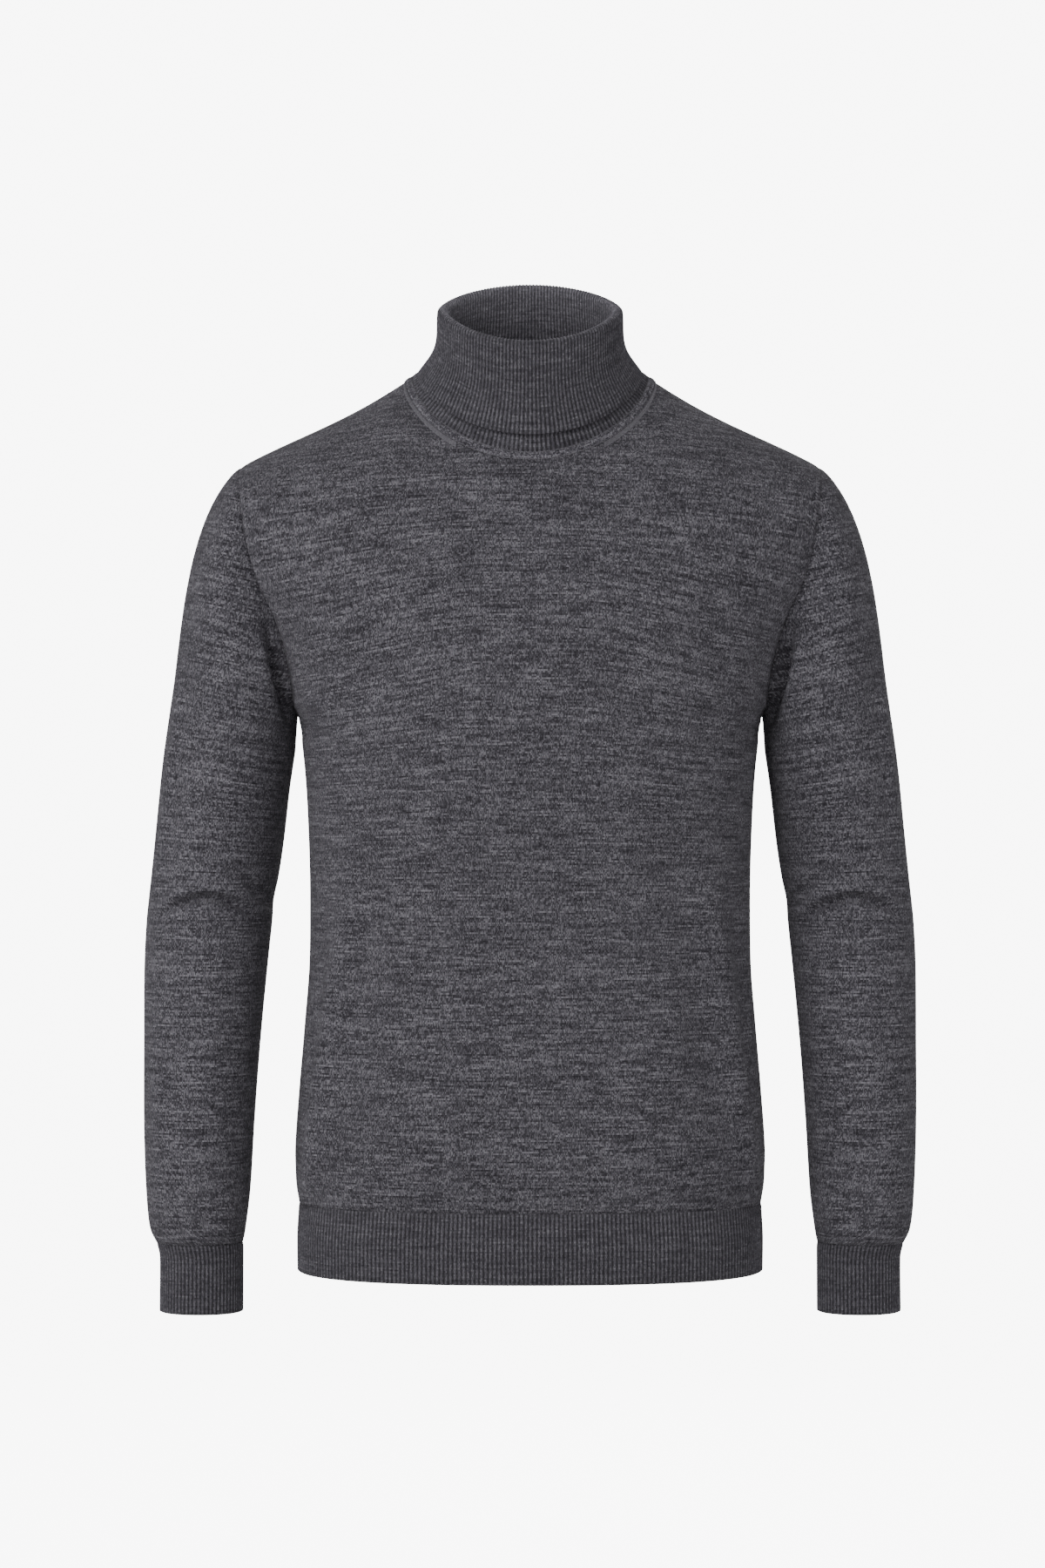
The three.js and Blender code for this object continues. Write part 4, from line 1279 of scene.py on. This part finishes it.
class SWEATER_OT_cuffs(Operator):
    """Knit both ribbed cuffs"""
    bl_idname = "sweater.cuffs"
    bl_label = "Cuffs"

    def execute(self, context):
        settings = context.scene.sweater_cut
        count = settings.cuff_ribs * POINTS_ON_RIB
        place = np.arange(count) / POINTS_ON_RIB
        levels = np.linspace(CUFF_LINE - SEAM / 2, CUFF[-1].z, CUFF_ROWS)[:, None]
        points = sleeve_ring(row_at(CUFF, "z", levels), turns(count))
        normals = unit(grid_normals(points, True) * np.array([1, 1, 0.5]))
        sunk = CUFF_SINK + dip(edge_distance(points)[0], RIB_SEAM_DIP * settings.seam_dip)
        outer = points - normals * sunk[..., None]
        cut = stack(np.linspace(0, CUFF_CUT.width, count + 1), levels)
        for name, side in SIDES.items():
            flip = np.array([side, 1, 1])
            piece = ribbed_wall(f"cuff_knit_{name}", outer * flip, normals * flip, cut, place, True)
            dress(piece, f"cuff_{name}")
        return {"FINISHED"}


# Rings round the neck.

def drawn_in(level, by, up=0.0):
    """A ring moved towards the neck's middle and up."""
    return level._replace(
        half=level.half - by, front=level.front + by, back=level.back - by,
        side_z=level.side_z + up, front_z=level.front_z + up, back_z=level.back_z + up)


def between(low, high, t):
    return NeckLevel(*(mix(a, b, t) for a, b in zip(low, high)))


def over_fold(low, high, rise, count):
    """Rings over a round fold from one ring to another."""
    for turn in np.linspace(0, np.pi, count + 2)[1:-1]:
        yield drawn_in(between(low, high, (1 - math.cos(turn)) / 2), 0, rise * math.sin(turn))


def collar_rings():
    """Rings of the collar's wall with their share of a rib's rise.

    They run up the fold-over's outside, down the stand's inside, and back along the strip's other face."""
    up = np.linspace(0, 1, COLLAR_ROWS)
    roll, stand = ([row_at(rows, "at", at) for at in up] for rows in (ROLL, STAND))
    roll_back, stand_back = ([drawn_in(level, RIB_KNIT) for level in rows[::-1]] for rows in (roll, stand))
    shown = np.count_nonzero(up < STAND_IN_SIGHT)
    parts = (
        (roll, 1),
        (over_fold(roll[-1], stand_back[0], FOLD_RISE, 7), 1),
        (stand_back, STAND_RIBS),
        (stand[:shown], 1),
        (stand[shown:], 0),
        (over_fold(stand[-1], roll_back[0], INNER_FOLD_RISE, 2), 0),
        (roll_back, 0),
        ([drawn_in(roll[0], RIB_KNIT / 2, -LIP_DROP)], LIP_RIBS),
    )
    return [(level, share) for levels, share in parts for level in levels]


class SWEATER_OT_collar(Operator):
    """Knit the fold-over collar as one strip with its fold at the top"""
    bl_idname = "sweater.collar"
    bl_label = "Roll collar"

    def execute(self, context):
        count = context.scene.sweater_cut.collar_ribs * POINTS_ON_RIB
        levels, shares = zip(*collar_rings())
        rings = np.stack([neck_point(level, turns(count)) for level in levels])
        cut = stack(np.linspace(0, COLLAR_CUT.width, count + 1), walked(rings).mean(axis=1, keepdims=True))
        ribs = (np.arange(count) / POINTS_ON_RIB, np.array(shares)[:, None])
        piece = raise_ribs(shell("collar_knit", rings, cut, True, ribs))
        dress(piece, "roll_collar")
        return {"FINISHED"}


class SWEATER_OT_neck_band(Operator):
    """Knit the smooth strip that links the collar to the panels"""
    bl_idname = "sweater.neck_band"
    bl_label = "Neck band"

    def execute(self, context):
        turn = turns(BAND_COLUMNS)
        gap = SEAM / math.hypot(NECK_EDGE.half - COLLAR_SEAM.half, COLLAR_SEAM.side_z - NECK_EDGE.side_z)
        lower = between(NECK_EDGE, COLLAR_SEAM, 1.5 * gap)
        steps = np.linspace(0, 1, BAND_ROWS)
        normals = np.repeat(neck_facing(turn)[None], BAND_ROWS, axis=0)
        rise = BAND_RISE + BAND_BULGE * np.sin(np.pi * steps)
        rise[[0, -1]] -= BAND_TUCK
        outer = np.stack([neck_point(between(lower, COLLAR_SEAM, t), turn) for t in steps])
        outer = outer + normals * rise[:, None, None]
        cut = stack(np.linspace(0, BAND_CUT.width, BAND_COLUMNS + 1), BAND_HEIGHT * steps[:, None])
        piece = wall("neck_band_knit", outer, normals, cut, BAND_KNIT, wraps=True)
        dress(piece, "neck_band", strip_knit())
        return {"FINISHED"}


# Stitches of sewing yarn.

def lay_stitches(name, found, stitch):
    """One object of plump stitches, each on its place, facing out and lying along its thread."""
    places, facings, alongs = found
    length, thickness = stitch
    mesh = bpy.data.meshes.new(name)
    mesh.vertices.add(len(places))
    mesh.vertices.foreach_set("co", places.ravel())
    carry(mesh, "facing", "FLOAT_VECTOR", facings)
    carry(mesh, "along", "FLOAT_VECTOR", alongs)
    settings = {"Length": length, "Thickness": thickness, "Knit": sewing_yarn()}
    piece = run_nodes(add_piece(name, mesh), "laid_stitches", stitch_tree, settings)
    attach(piece, "root")


def at_stops(stops, walk, values):
    """Values along a path, read at stops."""
    return np.stack([np.interp(stops, walk, column) for column in values.T], -1)


def spaced(path, facing, pitch):
    """Places at an even pitch along a path, with the facing and the direction of the path there."""
    walk = walked(path)
    stops = np.arange(pitch / 2, walk[-1], pitch)
    facings = unit(at_stops(stops, walk, facing))
    alongs = unit(at_stops(stops, walk, np.gradient(path, axis=0)))
    alongs = unit(alongs - facings * (alongs * facings).sum(-1, keepdims=True))
    return at_stops(stops, walk, path), facings, alongs


class SWEATER_OT_linking(Operator):
    """Link the neck band to the panels and to the collar with chains of small stitches"""
    bl_idname = "sweater.linking"
    bl_label = "Linking chains"

    def execute(self, context):
        turn = np.linspace(0, 2 * np.pi, 721)
        facing = neck_facing(turn)
        for name, level in (("lower", NECK_EDGE), ("upper", COLLAR_SEAM)):
            path = neck_point(level, turn) + facing * CHAIN_LIFT
            places, facings, alongs = spaced(path, facing, CHAIN_PITCH)
            slant = CHAIN_SLANT * np.where(np.arange(len(alongs)) % 2, 1, -1)[:, None]
            alongs = unit(alongs + slant * np.cross(facings, alongs))
            lay_stitches(f"linking_chain_{name}", (places, facings, alongs), CHAIN_STITCH)
        return {"FINISHED"}


class SWEATER_OT_fashioning(Operator):
    """Mark the narrowings of the knit beside the armholes and the neckline"""
    bl_idname = "sweater.fashioning"
    bl_label = "Fashioning marks"

    def execute(self, context):
        groups = []
        for facing in OUTWARD:
            points, normals, _ = half_panel(facing)
            groups += [self.armhole_marks(points, normals), *self.neck_lines(points, normals, facing)]
        found = [
            np.concatenate([made for values in column for made in (values, values * MIRROR)])
            for column in zip(*groups)]
        lay_stitches("fashioning_marks", found, MARK_STITCH)
        return {"FINISHED"}

    def armhole_marks(self, points, normals):
        """Short slanting marks along the upper part of the armhole."""
        height = points[:, -1, 2]
        rows = np.flatnonzero((height > MARKS_LOW) & (height < MARKS_HIGH))
        gap = np.linalg.norm(points[rows, -1:] - points[rows, :-1], axis=-1)
        column = np.argmin(np.abs(gap - MARKS_IN), axis=1)
        spots, facings, alongs = spaced(points[rows, column], normals[rows, column], MARK_PITCH)
        inward = np.cross(facings, alongs) * np.sign(facings[:, 1:2])
        return spots + facings * MARK_LIFT, facings, unit(MARK_ALONG * alongs - MARK_ACROSS * inward)

    def neck_lines(self, points, normals, facing):
        """Lines of stitches that follow the neckline beside the shoulder seam, one below another."""
        last = int(HALF_COLUMNS * NECK_SHARE)
        span = range(int(last * NECK_MARKS_START[facing]), last + 1)
        for below in NECK_MARKS_BELOW:
            found = []
            for column in span:
                down = points[::-1, column]
                walk = walked(down)
                found.append([at_stops(below, walk, values) for values in (down, normals[::-1, column])])
            path, out = np.array(found).swapaxes(0, 1)
            yield spaced(path, unit(out), NECK_MARKS_PITCH)


class SWEATER_OT_stage(Operator):
    """Set the pale floor, the soft lights and the camera"""
    bl_idname = "sweater.stage"
    bl_label = "Studio"

    def execute(self, context):
        studio = context.scene.sweater_studio
        self.floor(studio)
        self.air(context.scene, studio)
        self.lights()
        self.camera(context.scene, studio)
        return {"FINISHED"}

    def floor(self, studio):
        bpy.ops.mesh.primitive_plane_add(size=24, location=(0, 0, 0))
        floor = bpy.context.object
        floor.name = "studio_floor"
        for vertex in floor.data.vertices:
            vertex.co.z = studio.floor_height
        floor.data.materials.append(paper_material("studio_paper", studio.white))
        floor.visible_diffuse = False
        floor.visible_glossy = False

    def air(self, scene, studio):
        """Light from all sides, which the camera alone sees as a bright backdrop."""
        world = bpy.data.worlds.new("studio_air")
        scene.world = world
        world.use_nodes = True
        tree = world.node_tree
        seen = add_node(tree, "ShaderNodeLightPath").outputs["Is Camera Ray"]
        strength = calc(tree, "MULTIPLY_ADD", seen, studio.white, studio.air)
        fill(tree, tree.nodes["Background"].inputs, {"Strength": strength, "Color": (1, 1, 1, 1)})

    def lights(self):
        for lamp in LAMPS:
            data = bpy.data.lights.new(lamp.name, "AREA")
            data.size = lamp.size
            data.energy = lamp.power
            light = add_piece(lamp.name, data)
            light.location = lamp.place
            light.visible_camera = False
            x, y, z = np.array(lamp.aim) - np.array(lamp.place)
            light.rotation_euler = (math.atan2(math.hypot(x, y), -z), 0, math.atan2(y, x) - math.pi / 2)

    def camera(self, scene, studio):
        data = bpy.data.cameras.new("front_camera")
        data.sensor_fit = "VERTICAL"
        data.sensor_height = 36
        data.lens = data.sensor_height * studio.eye_distance / studio.view_height
        camera = add_piece("front_camera", data)
        camera.location = (studio.view_right, -studio.eye_distance, studio.eye_height)
        camera.rotation_euler = (math.pi / 2, 0, 0)
        scene.camera = camera


class SWEATER_PT_pieces(Panel):
    """Lists the pieces of the sweater and their settings"""
    bl_idname = "SWEATER_PT_pieces"
    bl_label = "Sweater"
    bl_space_type = "VIEW_3D"
    bl_region_type = "UI"
    bl_category = "Sweater"

    def draw(self, context):
        for group in GROUPS:
            settings = getattr(context.scene, group)
            box = self.layout.box()
            for name in settings.__annotations__:
                box.prop(settings, name)
        for operator in PIECES:
            self.layout.operator(operator.bl_idname)


PIECES = (
    SWEATER_OT_panels,
    SWEATER_OT_sleeves,
    SWEATER_OT_hem,
    SWEATER_OT_cuffs,
    SWEATER_OT_neck_band,
    SWEATER_OT_collar,
    SWEATER_OT_linking,
    SWEATER_OT_fashioning,
    SWEATER_OT_stage,
)
GROUPS = {"sweater_cut": CutSettings, "sweater_yarn": YarnSettings, "sweater_studio": StudioSettings}


def register():
    for made in (*GROUPS.values(), *PIECES, SWEATER_PT_pieces):
        bpy.utils.register_class(made)
    for name, group in GROUPS.items():
        setattr(bpy.types.Scene, name, PointerProperty(type=group))


def unregister():
    for name in GROUPS:
        delattr(bpy.types.Scene, name)
    for made in reversed((*GROUPS.values(), *PIECES, SWEATER_PT_pieces)):
        bpy.utils.unregister_class(made)


def write_sizes():
    """Updates the scene's view layer."""
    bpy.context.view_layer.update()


def main():
    register()
    for operator in PIECES:
        group, name = operator.bl_idname.split(".")
        getattr(getattr(bpy.ops, group), name)()
    write_sizes()


if __name__ == "__main__":
    main()
